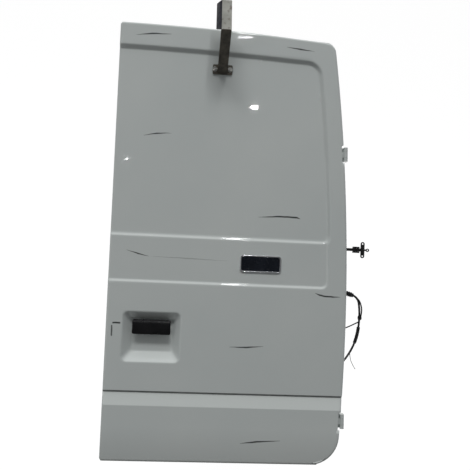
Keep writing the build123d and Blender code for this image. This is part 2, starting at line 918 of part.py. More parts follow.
# Blank plate at the badge's place
with BuildPart() as badge_rim:
    with BuildSketch(at_depth(band_depth)):
        with Locations((badge_centre_u, badge_centre_v)):
            RectangleRounded(badge_width, badge_height, badge_corner_radius)
            RectangleRounded(
                badge_width - 2 * badge_rim_width,
                badge_height - 2 * badge_rim_width,
                badge_corner_radius - badge_rim_width,
                mode=Mode.SUBTRACT,
            )
    extrude(amount=badge_rim_height)
badge_rim.part.label = "badge_rim"
export_step(badge_rim.part, "parts/badge_rim.step")

with BuildPart() as badge_plate:
    with BuildSketch(at_depth(band_depth)):
        with Locations((badge_centre_u, badge_centre_v)):
            RectangleRounded(
                badge_width - 2 * badge_rim_width - 2 * badge_plate_clearance,
                badge_height - 2 * badge_rim_width - 2 * badge_plate_clearance,
                badge_corner_radius - badge_rim_width,
            )
    extrude(amount=badge_plate_height)
badge_plate.part.label = "badge_plate"
export_step(badge_plate.part, "parts/badge_plate.step")

# Support arm: foot plate bolted on the window pressing, two lengths of box tube mitred at the knee
with BuildPart() as support_foot:
    with BuildSketch(at_depth(recess_depth)):
        with Locations((support_centre_u, support_foot_height)):
            RectangleRounded(foot_plate_width, foot_plate_height, foot_plate_radius)
        with Locations(*support_bolt_places):
            Circle(support_bolt_radius + support_bolt_clearance, mode=Mode.SUBTRACT)
    extrude(amount=foot_plate_thickness)
support_foot.part.label = "support_foot"
export_step(support_foot.part, "parts/support_foot.step")

foot_face_depth = recess_depth - foot_plate_thickness
arm_start = Vector(foot_face_depth, support_foot_height + arm_start_lift)
arm_knee = Vector(-arm_knee_reach, arm_start.Y + arm_knee_rise)
arm_end = Vector(-arm_end_reach, arm_knee.Y + arm_end_rise)


# Corner points of both lengths of tube, between a front and a back side that stand off its middle line;
# the foot is cut by the plate and the knee by the mitre
def tube_sides(front, back):
    first = (arm_knee - arm_start).normalized()
    second = (arm_end - arm_knee).normalized()
    first_side = Vector(-first.Y, first.X)
    second_side = Vector(-second.Y, second.X)
    mitre = (first_side + second_side).normalized()
    mitre = mitre / mitre.dot(first_side)
    lower = []
    upper = []
    for side in (front, back):
        near = arm_knee + first_side * side
        slide = (foot_face_depth - near.X) / first.X
        start = near + first * slide
        knee = arm_knee + mitre * side
        end = arm_end + second_side * side
        lower.append((start, knee))
        upper.append((knee, end))
    return lower, upper


arm_half = arm_section / 2
outer_lower, outer_upper = tube_sides(arm_half, -arm_half)
inner_lower, inner_upper = tube_sides(arm_half - arm_wall, arm_wall - arm_half)
flank_upper = tube_sides(arm_flank_edge - arm_half, -arm_half)[1]


def tube_profile(sides):
    return [
        (sides[0][0].X, sides[0][0].Y),
        (sides[0][1].X, sides[0][1].Y),
        (sides[1][1].X, sides[1][1].Y),
        (sides[1][0].X, sides[1][0].Y),
    ]


with BuildPart() as support_arm_lower:
    with BuildSketch(section_at(support_centre_u)):
        Polygon(*tube_profile(outer_lower), align=None)
    extrude(amount=arm_width / 2, both=True)
    with BuildSketch(section_at(support_centre_u)):
        Polygon(*tube_profile(inner_lower), align=None)
    extrude(amount=arm_width / 2 - arm_wall, both=True, mode=Mode.SUBTRACT)
support_arm_lower.part.label = "support_arm_lower"
export_step(support_arm_lower.part, "parts/support_arm_lower.step")

# Sloping flank on the latch side of the upper length
with BuildPart() as arm_flank:
    with BuildSketch(section_at(support_centre_u - arm_width / 2 - arm_flank_width)):
        Polygon(*tube_profile(flank_upper), align=None)
    with BuildSketch(section_at(support_centre_u - arm_width / 2)):
        Polygon(*tube_profile(outer_upper), align=None)
    loft(ruled=True)

with BuildPart() as support_arm_upper:
    with BuildSketch(section_at(support_centre_u)):
        Polygon(*tube_profile(outer_upper), align=None)
    extrude(amount=arm_width / 2, both=True)
    with BuildSketch(section_at(support_centre_u)):
        Polygon(*tube_profile(inner_upper), align=None)
    extrude(amount=arm_width / 2 - arm_wall, both=True, mode=Mode.SUBTRACT)
    add(arm_flank.part)
support_arm_upper.part.label = "support_arm_upper"
export_step(support_arm_upper.part, "parts/support_arm_upper.step")

support_bolt_end = recess_depth + skin_sheet + support_nut_height + support_bolt_tail
with BuildPart() as support_bolts:
    with BuildSketch(at_depth(foot_face_depth)):
        with Locations(*support_bolt_places):
            RegularPolygon(support_bolt_head / 2, 6, major_radius=False)
    extrude(amount=support_bolt_head_height)
    with BuildSketch(at_depth(support_bolt_end)):
        with Locations(*support_bolt_places):
            Circle(support_bolt_radius)
    extrude(amount=support_bolt_end - foot_face_depth)
support_bolts.part.label = "support_bolts"
export_step(support_bolts.part, "parts/support_bolts.step")

with BuildPart() as support_nuts:
    with BuildSketch(at_depth(recess_depth + skin_sheet)):
        with Locations(*support_bolt_places):
            RegularPolygon(support_bolt_head / 2, 6, major_radius=False)
            Circle(support_bolt_radius + support_nut_clearance, mode=Mode.SUBTRACT)
    extrude(amount=-support_nut_height)
support_nuts.part.label = "support_nuts"
export_step(support_nuts.part, "parts/support_nuts.step")

# Door check: housing on the back of the box, sliding strap with a fork, pin, pillar bracket
check_wall_u = edge_at(check_height) - box_hinge_border
check_pivot_u = edge_at(check_height) + check_pivot_reach
housing_end = check_wall_u - check_housing_wall_gap
housing_depth = check_depth - check_strap_thickness
with BuildPart() as check_housing:
    with BuildSketch(section_at(housing_end - check_housing_length)):
        with Locations((housing_depth, check_height)):
            Rectangle(
                box_depth - panel_sheet - housing_depth,
                check_housing_height,
                align=(Align.MIN, Align.CENTER),
            )
        with Locations((check_depth, check_height)):
            Rectangle(
                check_strap_thickness + 2 * check_strap_clearance,
                check_strap_height + 2 * check_strap_clearance,
                mode=Mode.SUBTRACT,
            )
    extrude(amount=check_housing_length)
check_housing.part.label = "check_housing"
export_step(check_housing.part, "parts/check_housing.step")

check_tail_u = check_pivot_u - check_fork_radius - check_strap_tail
tongue_height = check_fork_height / 2
with BuildPart() as check_strap:
    with BuildSketch(section_at(check_tail_u)):
        with Locations((check_depth, check_height)):
            Rectangle(check_strap_thickness, check_strap_height)
    extrude(amount=check_strap_tail - check_fork_radius)
    with BuildSketch(level_at(check_height)):
        with Locations((check_pivot_u, check_depth)):
            Circle(check_fork_radius)
        with Locations((check_pivot_u, check_depth)):
            Rectangle(
                check_fork_length,
                2 * check_fork_radius,
                align=(Align.MAX, Align.CENTER),
            )
    extrude(amount=check_fork_height / 2, both=True)
    with BuildSketch(level_at(check_height)):
        with Locations((check_pivot_u - check_fork_radius - check_fork_throat, check_depth)):
            Rectangle(
                4 * check_fork_radius,
                4 * check_fork_radius,
                align=(Align.MIN, Align.CENTER),
            )
    extrude(amount=tongue_height / 2 + check_tongue_clearance, both=True, mode=Mode.SUBTRACT)
    with BuildSketch(level_at(check_height)):
        with Locations((check_pivot_u, check_depth)):
            Circle(check_pin_radius)
    extrude(amount=check_fork_height, both=True, mode=Mode.SUBTRACT)
check_strap.part.label = "check_strap"
export_step(check_strap.part, "parts/check_strap.step")

with BuildPart() as check_pin:
    with BuildSketch(level_at(check_height)):
        with Locations((check_pivot_u, check_depth)):
            Circle(check_pin_radius)
    extrude(amount=check_fork_height / 2, both=True)
check_pin.part.label = "check_pin"
export_step(check_pin.part, "parts/check_pin.step")

check_plate_u = check_pivot_u + check_plate_offset
check_eye_u = check_pivot_u + check_eye_offset
with BuildPart() as check_bracket:
    with BuildSketch(at_depth(check_depth)):
        with Locations((check_plate_u, check_height)):
            SlotOverall(check_plate_height, check_plate_width, rotation=90)
        with Locations((check_eye_u, check_height)):
            Circle(check_eye_radius)
        with Locations(((check_plate_u + check_eye_u) / 2, check_height)):
            Rectangle(check_eye_u - check_plate_u, check_eye_radius)
        with Locations((check_eye_u, check_height)):
            Circle(check_eye_hole_radius, mode=Mode.SUBTRACT)
        with Locations(
            (check_plate_u, check_height - check_plate_height / 2 + check_plate_width / 2),
            (check_plate_u, check_height + check_plate_height / 2 - check_plate_width / 2),
        ):
            Circle(check_plate_hole_radius, mode=Mode.SUBTRACT)
    extrude(amount=check_plate_thickness / 2, both=True)
    with BuildSketch(level_at(check_height)):
        with Locations((check_pivot_u, check_depth)):
            Circle(check_fork_radius - check_tongue_margin)
            Rectangle(
                check_plate_offset,
                check_plate_thickness,
                align=(Align.MIN, Align.CENTER),
            )
            Circle(check_pin_radius + check_pin_clearance, mode=Mode.SUBTRACT)
    extrude(amount=tongue_height / 2, both=True)
check_bracket.part.label = "check_bracket"
export_step(check_bracket.part, "parts/check_bracket.step")


# Hinges: pin fixed in the body leaf, door leaf turning on it
hinge_height_all = 2 * hinge_outer_knuckle + hinge_inner_knuckle + 2 * hinge_knuckle_gap
hinge_spine_depth = hinge_axis_depth + hinge_barrel_radius + hinge_spine_clearance


# Turn about the hinge's own middle that sets an upright hinge piece on the leaning hinge line
def leaned(upright, v):
    return upright.rotate(Axis(place(axis_at(v), v, hinge_axis_depth), (0, 1, 0)), -hinge_lean)


def door_leaf(v):
    axis_u = axis_at(v)
    with BuildPart() as leaf_part:
        with BuildSketch(level_at(v)):
            with Locations((axis_u, hinge_axis_depth)):
                Circle(hinge_barrel_radius)
            with Locations((axis_u, hinge_strap_depth)):
                Rectangle(
                    hinge_stand_off + hinge_strap_reach,
                    hinge_strap_thickness,
                    align=(Align.MAX, Align.MIN),
                )
            with Locations((axis_u, hinge_axis_depth)):
                Circle(hinge_pin_radius + hinge_pin_clearance, mode=Mode.SUBTRACT)
        extrude(amount=hinge_inner_knuckle / 2, both=True)
    return leaned(leaf_part.part, v)


def body_leaf(v):
    axis_u = axis_at(v)
    knuckle_start = hinge_inner_knuckle / 2 + hinge_knuckle_gap
    with BuildPart() as upright_leaf:
        with BuildSketch(level_at(v)):
            with Locations((axis_u + hinge_barrel_radius, hinge_plate_depth)):
                Rectangle(
                    hinge_plate_reach + hinge_barrel_radius,
                    hinge_plate_thickness,
                    align=(Align.MAX, Align.MIN),
                )
            with Locations((axis_u, hinge_spine_depth)):
                Rectangle(
                    2 * hinge_barrel_radius,
                    hinge_seat_depth - hinge_spine_depth,
                    align=(Align.CENTER, Align.MIN),
                )
        extrude(amount=hinge_height_all / 2, both=True)
        for start in (knuckle_start, -knuckle_start - hinge_outer_knuckle):
            with BuildSketch(level_at(v + start)):
                with Locations((axis_u, hinge_axis_depth)):
                    Circle(hinge_barrel_radius)
                    Rectangle(
                        2 * hinge_barrel_radius,
                        hinge_seat_depth - hinge_axis_depth,
                        align=(Align.CENTER, Align.MIN),
                    )
            extrude(amount=hinge_outer_knuckle)
        with BuildSketch(level_at(v)):
            with Locations((axis_u, hinge_axis_depth)):
                Circle(hinge_pin_radius)
        extrude(amount=hinge_height_all, both=True, mode=Mode.SUBTRACT)
    with BuildPart() as leaf_part:
        add(leaned(upright_leaf.part, v))
        with BuildSketch(at_depth(hinge_seat_depth + cutter_over)):
            with Locations(
                (axis_u - hinge_seat_run, v - hinge_seat_drop - hinge_bolt_spacing / 2),
                (axis_u - hinge_seat_run, v - hinge_seat_drop + hinge_bolt_spacing / 2),
            ):
                Circle(hinge_bolt_radius)
        extrude(amount=cutter_over + hinge_seat_depth - hinge_axis_depth, mode=Mode.SUBTRACT)
    return leaf_part.part


def hinge_pin(v):
    axis_u = axis_at(v)
    with BuildPart() as pin_part:
        with BuildSketch(level_at(v)):
            with Locations((axis_u, hinge_axis_depth)):
                Circle(hinge_pin_radius)
        extrude(amount=hinge_height_all / 2, both=True)
    return leaned(pin_part.part, v)


with BuildPart() as upper_hinge_door_leaf:
    add(door_leaf(upper_hinge_height))
upper_hinge_door_leaf.part.label = "upper_hinge_door_leaf"
export_step(upper_hinge_door_leaf.part, "parts/upper_hinge_door_leaf.step")

with BuildPart() as lower_hinge_door_leaf:
    add(door_leaf(lower_hinge_height))
lower_hinge_door_leaf.part.label = "lower_hinge_door_leaf"
export_step(lower_hinge_door_leaf.part, "parts/lower_hinge_door_leaf.step")

with BuildPart() as upper_hinge_body_leaf:
    add(body_leaf(upper_hinge_height))
upper_hinge_body_leaf.part.label = "upper_hinge_body_leaf"
export_step(upper_hinge_body_leaf.part, "parts/upper_hinge_body_leaf.step")

with BuildPart() as lower_hinge_body_leaf:
    add(body_leaf(lower_hinge_height))
lower_hinge_body_leaf.part.label = "lower_hinge_body_leaf"
export_step(lower_hinge_body_leaf.part, "parts/lower_hinge_body_leaf.step")

with BuildPart() as upper_hinge_pin:
    add(hinge_pin(upper_hinge_height))
upper_hinge_pin.part.label = "upper_hinge_pin"
export_step(upper_hinge_pin.part, "parts/upper_hinge_pin.step")

with BuildPart() as lower_hinge_pin:
    add(hinge_pin(lower_hinge_height))
lower_hinge_pin.part.label = "lower_hinge_pin"
export_step(lower_hinge_pin.part, "parts/lower_hinge_pin.step")


# Wiring: rubber gaiter and grommets in the hinge-side wall, cords between them
def route_radii(points):
    radii = []
    for before, corner, after in zip(points, points[1:], points[2:]):
        run_in = Vector(*corner) - Vector(*before)
        run_on = Vector(*after) - Vector(*corner)
        half_turn = radians(run_in.get_angle(run_on)) / 2
        radii.append(0.45 * min(run_in.length, run_on.length) / tan(half_turn))
    return radii


def cord_tube(points, radius):
    bend_radii = route_radii(points)
    print("cord of radius", radius, "bends at radii", [round(bend, 1) for bend in bend_radii])
    with BuildPart() as tube:
        with BuildLine() as route:
            FilletPolyline(*points, radius=bend_radii)
        with BuildSketch(Plane(origin=route.line @ 0, z_dir=route.line % 0)):
            Circle(radius)
        sweep()
    return tube.part


gaiter_wall = wall_plane(gaiter_height, loom_depth)
gaiter_points = [
    place(edge_at(gaiter_height) - box_hinge_border - gaiter_inner_run, gaiter_height, loom_depth),
    place(*gaiter_bend, loom_depth),
    place(*gaiter_tip, loom_depth),
]
with BuildPart() as loom_gaiter:
    add(cord_tube(gaiter_points, gaiter_radius))
    with BuildSketch(gaiter_wall):
        Circle(gaiter_flange_radius)
    extrude(amount=gaiter_flange_thickness)
loom_gaiter.part.label = "loom_gaiter"
export_step(loom_gaiter.part, "parts/loom_gaiter.step")

with BuildPart() as loom_grommets:
    for wall_height, radius in wall_holes[1:]:
        with BuildSketch(wall_plane(wall_height, loom_depth)):
            Circle(radius + grommet_flange)
        extrude(amount=grommet_flange_thickness)
        with BuildSketch(wall_plane(wall_height, loom_depth)):
            Circle(radius)
        extrude(amount=-grommet_plug)
loom_grommets.part.label = "loom_grommets"
export_step(loom_grommets.part, "parts/loom_grommets.step")

grommet_mouth = edge_at(grommet_height) - box_hinge_border + grommet_flange_thickness
branch_mouth = edge_at(branch_grommet_height) - box_hinge_border + grommet_flange_thickness
main_route = [
    (gaiter_tip[0], gaiter_tip[1], 30.0),
    (884.0, 585.0, 30.5),
    (891.0, 540.0, 32.0),
    (891.0, 495.0, 33.0),
    (886.0, 455.0, 33.0),
    (875.0, 418.0, 33.0),
    (857.0, 383.0, 33.0),
    (834.0, 352.0, 33.0),
    (808.0, 331.0, 33.0),
    (grommet_mouth, grommet_height, loom_depth),
]
with BuildPart() as loom_main:
    add(cord_tube([place(*spot) for spot in main_route], loom_main_radius))
loom_main.part.label = "loom_main"
export_step(loom_main.part, "parts/loom_main.step")

strand_route = [
    (gaiter_tip[0], gaiter_tip[1], 38.5),
    (886.0, 584.0, 40.0),
    (899.0, 560.0, 41.0),
    (902.0, 534.0, 40.0),
    (897.0, 515.0, 38.0),
]
with BuildPart() as loom_strand:
    add(cord_tube([place(*spot) for spot in strand_route], loom_strand_radius))
loom_strand.part.label = "loom_strand"
export_step(loom_strand.part, "parts/loom_strand.step")

branch_route = [
    (889.5, 500.0, 33.0),
    (868.0, 488.0, 36.0),
    (844.0, 477.0, 35.0),
    (816.0, 468.0, 33.5),
    (branch_mouth, branch_grommet_height, loom_depth),
]
with BuildPart() as loom_branch:
    add(cord_tube([place(*spot) for spot in branch_route], loom_branch_radius))
loom_branch.part.label = "loom_branch"
export_step(loom_branch.part, "parts/loom_branch.step")

tail_route = [
    (861.0, 391.0, 33.0),
    (864.0, 372.0, 38.0),
    (871.0, 351.0, 38.0),
    (884.0, 331.0, 37.0),
]
with BuildPart() as loom_tail:
    add(cord_tube([place(*spot) for spot in tail_route], loom_tail_radius))
loom_tail.part.label = "loom_tail"
export_step(loom_tail.part, "parts/loom_tail.step")

with BuildPart() as loom_knot:
    with BuildSketch(level_at(knot_start[1])):
        with Locations((knot_start[0], knot_start[2])):
            Circle(knot_radius)
    extrude(amount=knot_length)
loom_knot.part.label = "loom_knot"
export_step(loom_knot.part, "parts/loom_knot.step")
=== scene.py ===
# %% [markdown]
# # The rear barn door of a camper van
# This lesson dresses a finished CAD model. The CAD solids are already at their real size, so the first
# step only loads them and keeps the box that they fill. Nothing that follows may leave that box.

# %% Load the CAD frame
import json
import math

import bmesh
import bpy
import numpy as np
from mathutils import Matrix, Vector

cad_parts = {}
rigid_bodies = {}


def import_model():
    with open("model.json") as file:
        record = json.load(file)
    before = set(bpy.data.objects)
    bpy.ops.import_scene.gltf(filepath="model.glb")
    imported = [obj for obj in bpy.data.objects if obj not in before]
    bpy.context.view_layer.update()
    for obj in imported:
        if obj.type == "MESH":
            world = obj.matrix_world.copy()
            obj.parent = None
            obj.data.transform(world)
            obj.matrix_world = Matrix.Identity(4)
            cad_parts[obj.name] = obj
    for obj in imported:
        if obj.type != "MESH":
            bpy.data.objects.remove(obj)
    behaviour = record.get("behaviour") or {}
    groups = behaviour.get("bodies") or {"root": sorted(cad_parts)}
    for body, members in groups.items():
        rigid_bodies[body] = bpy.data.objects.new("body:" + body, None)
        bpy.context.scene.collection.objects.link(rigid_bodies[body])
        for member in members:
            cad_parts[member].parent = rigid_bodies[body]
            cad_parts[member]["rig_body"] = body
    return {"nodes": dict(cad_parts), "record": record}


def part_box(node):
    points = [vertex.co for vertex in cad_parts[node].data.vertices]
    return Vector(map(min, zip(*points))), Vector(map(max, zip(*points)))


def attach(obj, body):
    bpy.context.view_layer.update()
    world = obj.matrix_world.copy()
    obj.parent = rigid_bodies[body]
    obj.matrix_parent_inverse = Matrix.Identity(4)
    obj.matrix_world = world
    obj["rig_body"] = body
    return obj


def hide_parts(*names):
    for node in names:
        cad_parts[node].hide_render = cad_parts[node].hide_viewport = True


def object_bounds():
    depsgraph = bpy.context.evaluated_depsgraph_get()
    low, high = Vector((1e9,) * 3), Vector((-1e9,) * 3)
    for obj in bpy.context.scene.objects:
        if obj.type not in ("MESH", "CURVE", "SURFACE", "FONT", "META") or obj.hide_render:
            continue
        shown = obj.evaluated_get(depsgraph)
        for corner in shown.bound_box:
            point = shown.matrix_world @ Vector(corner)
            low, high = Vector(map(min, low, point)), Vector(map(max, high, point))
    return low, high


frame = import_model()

cad_low, cad_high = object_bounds()
print("CAD nodes:", len(frame["nodes"]), "box:", [round(side, 3) for side in cad_high - cad_low])

# %% [markdown]
# ## Door coordinates
# A door is measured from its edges, as a panel beater would do it: u runs from the latch edge towards the
# hinges, v runs up from the bottom edge, and depth runs inward from the flat of the outer face. One small
# function turns such a place into a point of the scene, so every later number can be checked with a rule.

# %% Door coordinates
skin_low, skin_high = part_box("outer_skin")


def place(u, v, depth):
    return Vector((skin_low.x + u, skin_low.y + depth, skin_low.z + v))


def level_at(v):
    return place(0.0, v, 0.0).z


leaf_height = skin_high.z - skin_low.z
print("leaf height", round(leaf_height, 4), "width", round(skin_high.x - skin_low.x, 4))

# %% [markdown]
# ## Camera
# The photograph was taken from a little left of the middle, close to the door, with the camera leaning.
# A camera could be aimed by eye, but then nothing in the picture would line up. Here its place and its
# three turns were worked out from the door's own straight lines, so they are written as plain values.

# %% Camera
photo_side = 470
focal_pixels = 643
sensor_width = 36.0
camera_place = place(0.2602, 0.711, -2.2336)
camera_turn = math.radians(4.36)
camera_tip = math.radians(1.99)
camera_lean = math.radians(-2.51)


def add_object(name, data):
    made = bpy.data.objects.new(name, data)
    bpy.context.scene.collection.objects.link(made)
    return made


camera_data = bpy.data.cameras.new("photo_camera")
camera_data.sensor_width = sensor_width
camera_data.lens = sensor_width * focal_pixels / photo_side
camera = add_object("photo_camera", camera_data)
bpy.context.scene.camera = camera
level = Matrix.Rotation(math.pi / 2, 4, "X")
aim = Matrix.Rotation(-camera_turn, 4, "Z") @ Matrix.Rotation(camera_tip, 4, "X")
aim = aim @ Matrix.Rotation(camera_lean, 4, "Y") @ level
camera.matrix_world = Matrix.Translation(camera_place) @ aim
print("camera at", [round(side, 3) for side in camera_place], "lens", round(camera_data.lens, 1))

# %% [markdown]
# ## Helpers for nodes
# Every finish below is a node tree. Writing each node by hand takes many lines, so a few helpers do the
# usual things: feed a node's inputs with values or links, add a node, do one sum on numbers or on vectors,
# take one axis of a vector, make a noise and stretch a value from one range to another.

# %% Helpers for nodes
def feed(tree, node, inputs):
    for name, value in inputs.items():
        if isinstance(value, bpy.types.NodeSocket):
            tree.links.new(value, node.inputs[name])
        else:
            node.inputs[name].default_value = value


def add_node(tree, kind, inputs=None, **settings):
    made = tree.nodes.new("ShaderNode" + kind)
    for name, value in settings.items():
        setattr(made, name, value)
    feed(tree, made, inputs or {})
    return made


def calc(tree, operation, *values, clamp=False):
    numbered = dict(enumerate(values))
    return add_node(tree, "Math", numbered, operation=operation, use_clamp=clamp).outputs[0]


def vector_calc(tree, operation, *values, output="Vector", **named):
    inputs = dict(enumerate(values)) | named
    return add_node(tree, "VectorMath", inputs, operation=operation).outputs[output]


def axis_of(tree, vector, axis):
    return add_node(tree, "SeparateXYZ", {0: vector}).outputs[axis]


def noise(tree, where, scale, detail=2.0, output="Fac"):
    return add_node(tree, "TexNoise", {"Vector": where, "Scale": scale, "Detail": detail}).outputs[output]


def stretched(tree, value, start, end, low=0.0, high=1.0):
    limits = {"Value": value, "From Min": start, "From Max": end, "To Min": low, "To Max": high}
    return add_node(tree, "MapRange", limits).outputs["Result"]


print("node helpers ready")

# %% [markdown]
# ## Helpers for colours
# Two helpers make colours. One turns a grey value into a run of shades, and the other lays one colour over
# another by an amount, as a thin coat does.

# %% Helpers for colours
def shades(tree, grey, stops):
    made = add_node(tree, "ValToRGB", {"Fac": grey})
    run = made.color_ramp
    while len(run.elements) < len(stops):
        run.elements.new(0.5)
    for element, (position, colour) in zip(run.elements, stops):
        element.position = position
        element.color = (*colour, 1.0)
    return made.outputs["Color"]


def mixed(tree, amount, first, second):
    made = add_node(tree, "Mix", {"Factor": amount}, data_type="RGBA")
    for socket, value in zip([s for s in made.inputs if s.type == "RGBA"], (first, second)):
        if isinstance(value, bpy.types.NodeSocket):
            tree.links.new(value, socket)
        else:
            socket.default_value = (*value, 1.0)
    return next(s for s in made.outputs if s.type == "RGBA")


print("colour helpers ready")

# %% [markdown]
# ## A base finish
# Real surfaces are never one colour: paint clouds a little, rubber blooms, plastic has grain. The base
# finish mixes two close shades with a soft noise, lets the roughness drift with a second noise, and adds
# a fine relief. Each real finish then starts from this and adds what is its own. The noises use object
# coordinates, which are the door's own and move with the door when it swings.

# %% A base finish
cloud_detail = 5.0
drift_detail = 3.0
grain_height = 0.001
usual_coat_roughness = 0.06


def dress(finish, inputs):
    feed(finish["tree"], finish["shader"], inputs)


def base_finish(name, shade_a, shade_b, cloud, rough, relief, relief_scale, metallic=0.0, coat=0.0):
    material = bpy.data.materials.new(name)
    material.use_nodes = True
    tree = material.node_tree
    where = add_node(tree, "TexCoord").outputs["Object"]
    finish = dict(material=material, tree=tree, shader=tree.nodes["Principled BSDF"], where=where)
    clouds = noise(tree, where, cloud, cloud_detail)
    finish["colour"] = shades(tree, clouds, [(0.35, shade_a), (0.65, shade_b)])
    drift = noise(tree, where, cloud * 3, drift_detail)
    finish["rough"] = stretched(tree, drift, 0.3, 0.7, *rough)
    grain = noise(tree, where, relief_scale)
    finish["bump"] = add_node(tree, "Bump", {"Height": grain, "Strength": relief, "Distance": grain_height})
    dress(finish, {"Metallic": metallic, "Coat Weight": coat, "Coat Roughness": usual_coat_roughness})
    dress(finish, {"Base Color": finish["colour"], "Roughness": finish["rough"]})
    dress(finish, {"Normal": finish["bump"].outputs["Normal"]})
    return finish


print("base finish ready")

# %% [markdown]
# ## Finishes of the wiring
# The loom is wound with black cloth tape. Near its lower end the winding thins out and the grey wires show
# through, so the main loom's tape turns greyer on its way down. The finishes are kept by the name of their
# slot, because every piece below asks for its finish by that name.

# %% Finishes of the wiring
tape_look = ((0.004, 0.004, 0.0045), (0.012, 0.012, 0.013), 40, (0.5, 0.7), 0.3, 900)
winding_thins = 0.40
wires_show = 0.375
wire_grey = (0.09, 0.09, 0.088)

finish_of_slot = {"loom_black": base_finish("loom_tape", *tape_look)}
loom_main_tape = base_finish("loom_main_tape", *tape_look)
tape_tree = loom_main_tape["tree"]
height = axis_of(tape_tree, loom_main_tape["where"], "Z")
untaped = stretched(tape_tree, height, level_at(winding_thins), level_at(wires_show))
dress(loom_main_tape, {"Base Color": mixed(tape_tree, untaped, loom_main_tape["colour"], wire_grey)})
finish_of_slot["loom_grey"] = base_finish(
    "bare_wire", (0.42, 0.42, 0.41), (0.6, 0.6, 0.58), 60, (0.4, 0.55), 0.1, 700
)
finish_of_slot["black_rubber"] = base_finish(
    "rubber", (0.006, 0.006, 0.007), (0.016, 0.016, 0.017), 30, (0.55, 0.8), 0.3, 500
)
print("first finishes for the slots", list(finish_of_slot))

# %% [markdown]
# ## The wiring's routes
# A loom comes out of a rubber gaiter at the hinge edge, hangs in a loose bow and goes back into the door.
# A free cable has no corners, so each route is a NURBS spline whose control points are the bends. The
# spline is read back as a line of points, and the tape, the wires and the gaiter are built along it.

# %% Routes of the wiring
main_route = [
    (0.866, 0.593, 0.030),
    (0.884, 0.585, 0.0305),
    (0.891, 0.540, 0.032),
    (0.891, 0.495, 0.033),
    (0.886, 0.455, 0.033),
    (0.875, 0.418, 0.033),
    (0.857, 0.383, 0.033),
    (0.834, 0.352, 0.033),
    (0.808, 0.331, 0.033),
    (0.7862, 0.328, 0.033),
]
strand_route = [
    (0.866, 0.593, 0.0385),
    (0.886, 0.584, 0.040),
    (0.899, 0.560, 0.041),
    (0.902, 0.534, 0.040),
    (0.897, 0.515, 0.038),
]
branch_route = [
    (0.8895, 0.500, 0.033),
    (0.868, 0.488, 0.036),
    (0.844, 0.477, 0.035),
    (0.816, 0.468, 0.0335),
    (0.786, 0.466, 0.033),
]
tail_route = [
    (0.861, 0.391, 0.033),
    (0.864, 0.372, 0.038),
    (0.871, 0.351, 0.038),
    (0.884, 0.331, 0.037),
]
coarse_steps = 14
fine_steps = 60


def spline_line(route, steps):
    curve = bpy.data.curves.new("route", "CURVE")
    curve.dimensions = "3D"
    curve.resolution_u = steps
    spline = curve.splines.new("NURBS")
    spline.points.add(len(route) - 1)
    for point, spot in zip(spline.points, route):
        point.co = (*place(*spot), 1.0)
    spline.order_u = 3
    spline.use_endpoint_u = True
    holder = bpy.data.objects.new("route", curve)
    line_mesh = bpy.data.meshes.new_from_object(holder)
    line = [vertex.co.copy() for vertex in line_mesh.vertices]
    bpy.data.objects.remove(holder)
    bpy.data.meshes.remove(line_mesh)
    return line


def line_length(line):
    return sum((b - a).length for a, b in zip(line, line[1:]))


print("points in the routes:", [len(r) for r in (main_route, strand_route, branch_route, tail_route)])

# %% [markdown]
# ## A tube along a line
# A cable's skin is a ring of points carried along its line. If each ring were turned afresh the tube would
# twist at the bends, so the ring's direction is carried over from the ring before. The radius may change
# along the line and round the ring, which is how tape turns and bellows get their relief.

# %% A tube along a line
def smooth_mesh(name, points, faces):
    mesh = bpy.data.meshes.new(name)
    mesh.from_pydata(points, [], faces)
    mesh.polygons.foreach_set("use_smooth", [True] * len(faces))
    return mesh


def ring_faces(first, rings, sides):
    faces = []
    for ring in range(rings - 1):
        low = first + ring * sides
        for corner in range(sides):
            after = (corner + 1) % sides
            faces.append((low + corner, low + after, low + sides + after, low + sides + corner))
    last = first + (rings - 1) * sides
    faces.append(tuple(reversed(range(first, first + sides))))
    faces.append(tuple(range(last, last + sides)))
    return faces


def tube_mesh(name, line, radius_at, sides):
    points = []
    along = 0.0
    side = None
    for index, spot in enumerate(line):
        ahead = line[min(index + 1, len(line) - 1)] - line[max(index - 1, 0)]
        ahead.normalize()
        if side is None:
            side = ahead.orthogonal()
        side = (side - ahead * side.dot(ahead)).normalized()
        cross = ahead.cross(side)
        if index:
            along += (spot - line[index - 1]).length
        for corner in range(sides):
            angle = 2 * math.pi * corner / sides
            out = side * math.cos(angle) + cross * math.sin(angle)
            points.append(spot + out * radius_at(along, angle))
    return smooth_mesh(name, points, ring_faces(0, len(line), sides))


print("tube helper ready")

# %% [markdown]
# ## A piece of the door
# Each piece gets its finish, given or looked up by its slot's name, and rides on a body of the CAD model.
# Where it stands for a CAD node, that node is hidden. Most pieces ride on the leaf itself.

# %% A piece of the door
def add_piece(name, mesh, slot, stands_for=(), body="door", finish=None):
    piece = add_object(name, mesh)
    mesh.materials.append((finish or finish_of_slot[slot])["material"])
    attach(piece, body)
    if stands_for:
        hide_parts(*stands_for)
    return piece


print("piece helper ready")

# %% [markdown]
# ## Tape on the loom
# The main loom is wires wound with cloth tape, so its radius steps a little once per turn of the tape. One
# stretch is wound twice and is thicker, and the outer wire joins the loom under a short taped knot.

# %% Tape on the loom
tape_turn = 0.011
tape_step = 0.0005
sleeve_low, sleeve_high = level_at(0.424), level_at(0.482)
sleeve_radius = 0.0062
knot_radius = 0.0075
knot_taper = 0.3
knot_rings = 24


def taped(radius):
    def radius_at(along, angle):
        turn = (along / tape_turn + angle / (2 * math.pi)) % 1.0
        return radius - tape_step * turn

    return radius_at


def bundled(along, angle):
    end = abs(2 * along / knot_length - 1)
    return taped(knot_radius)(along, angle) * (1 - knot_taper * end**4)


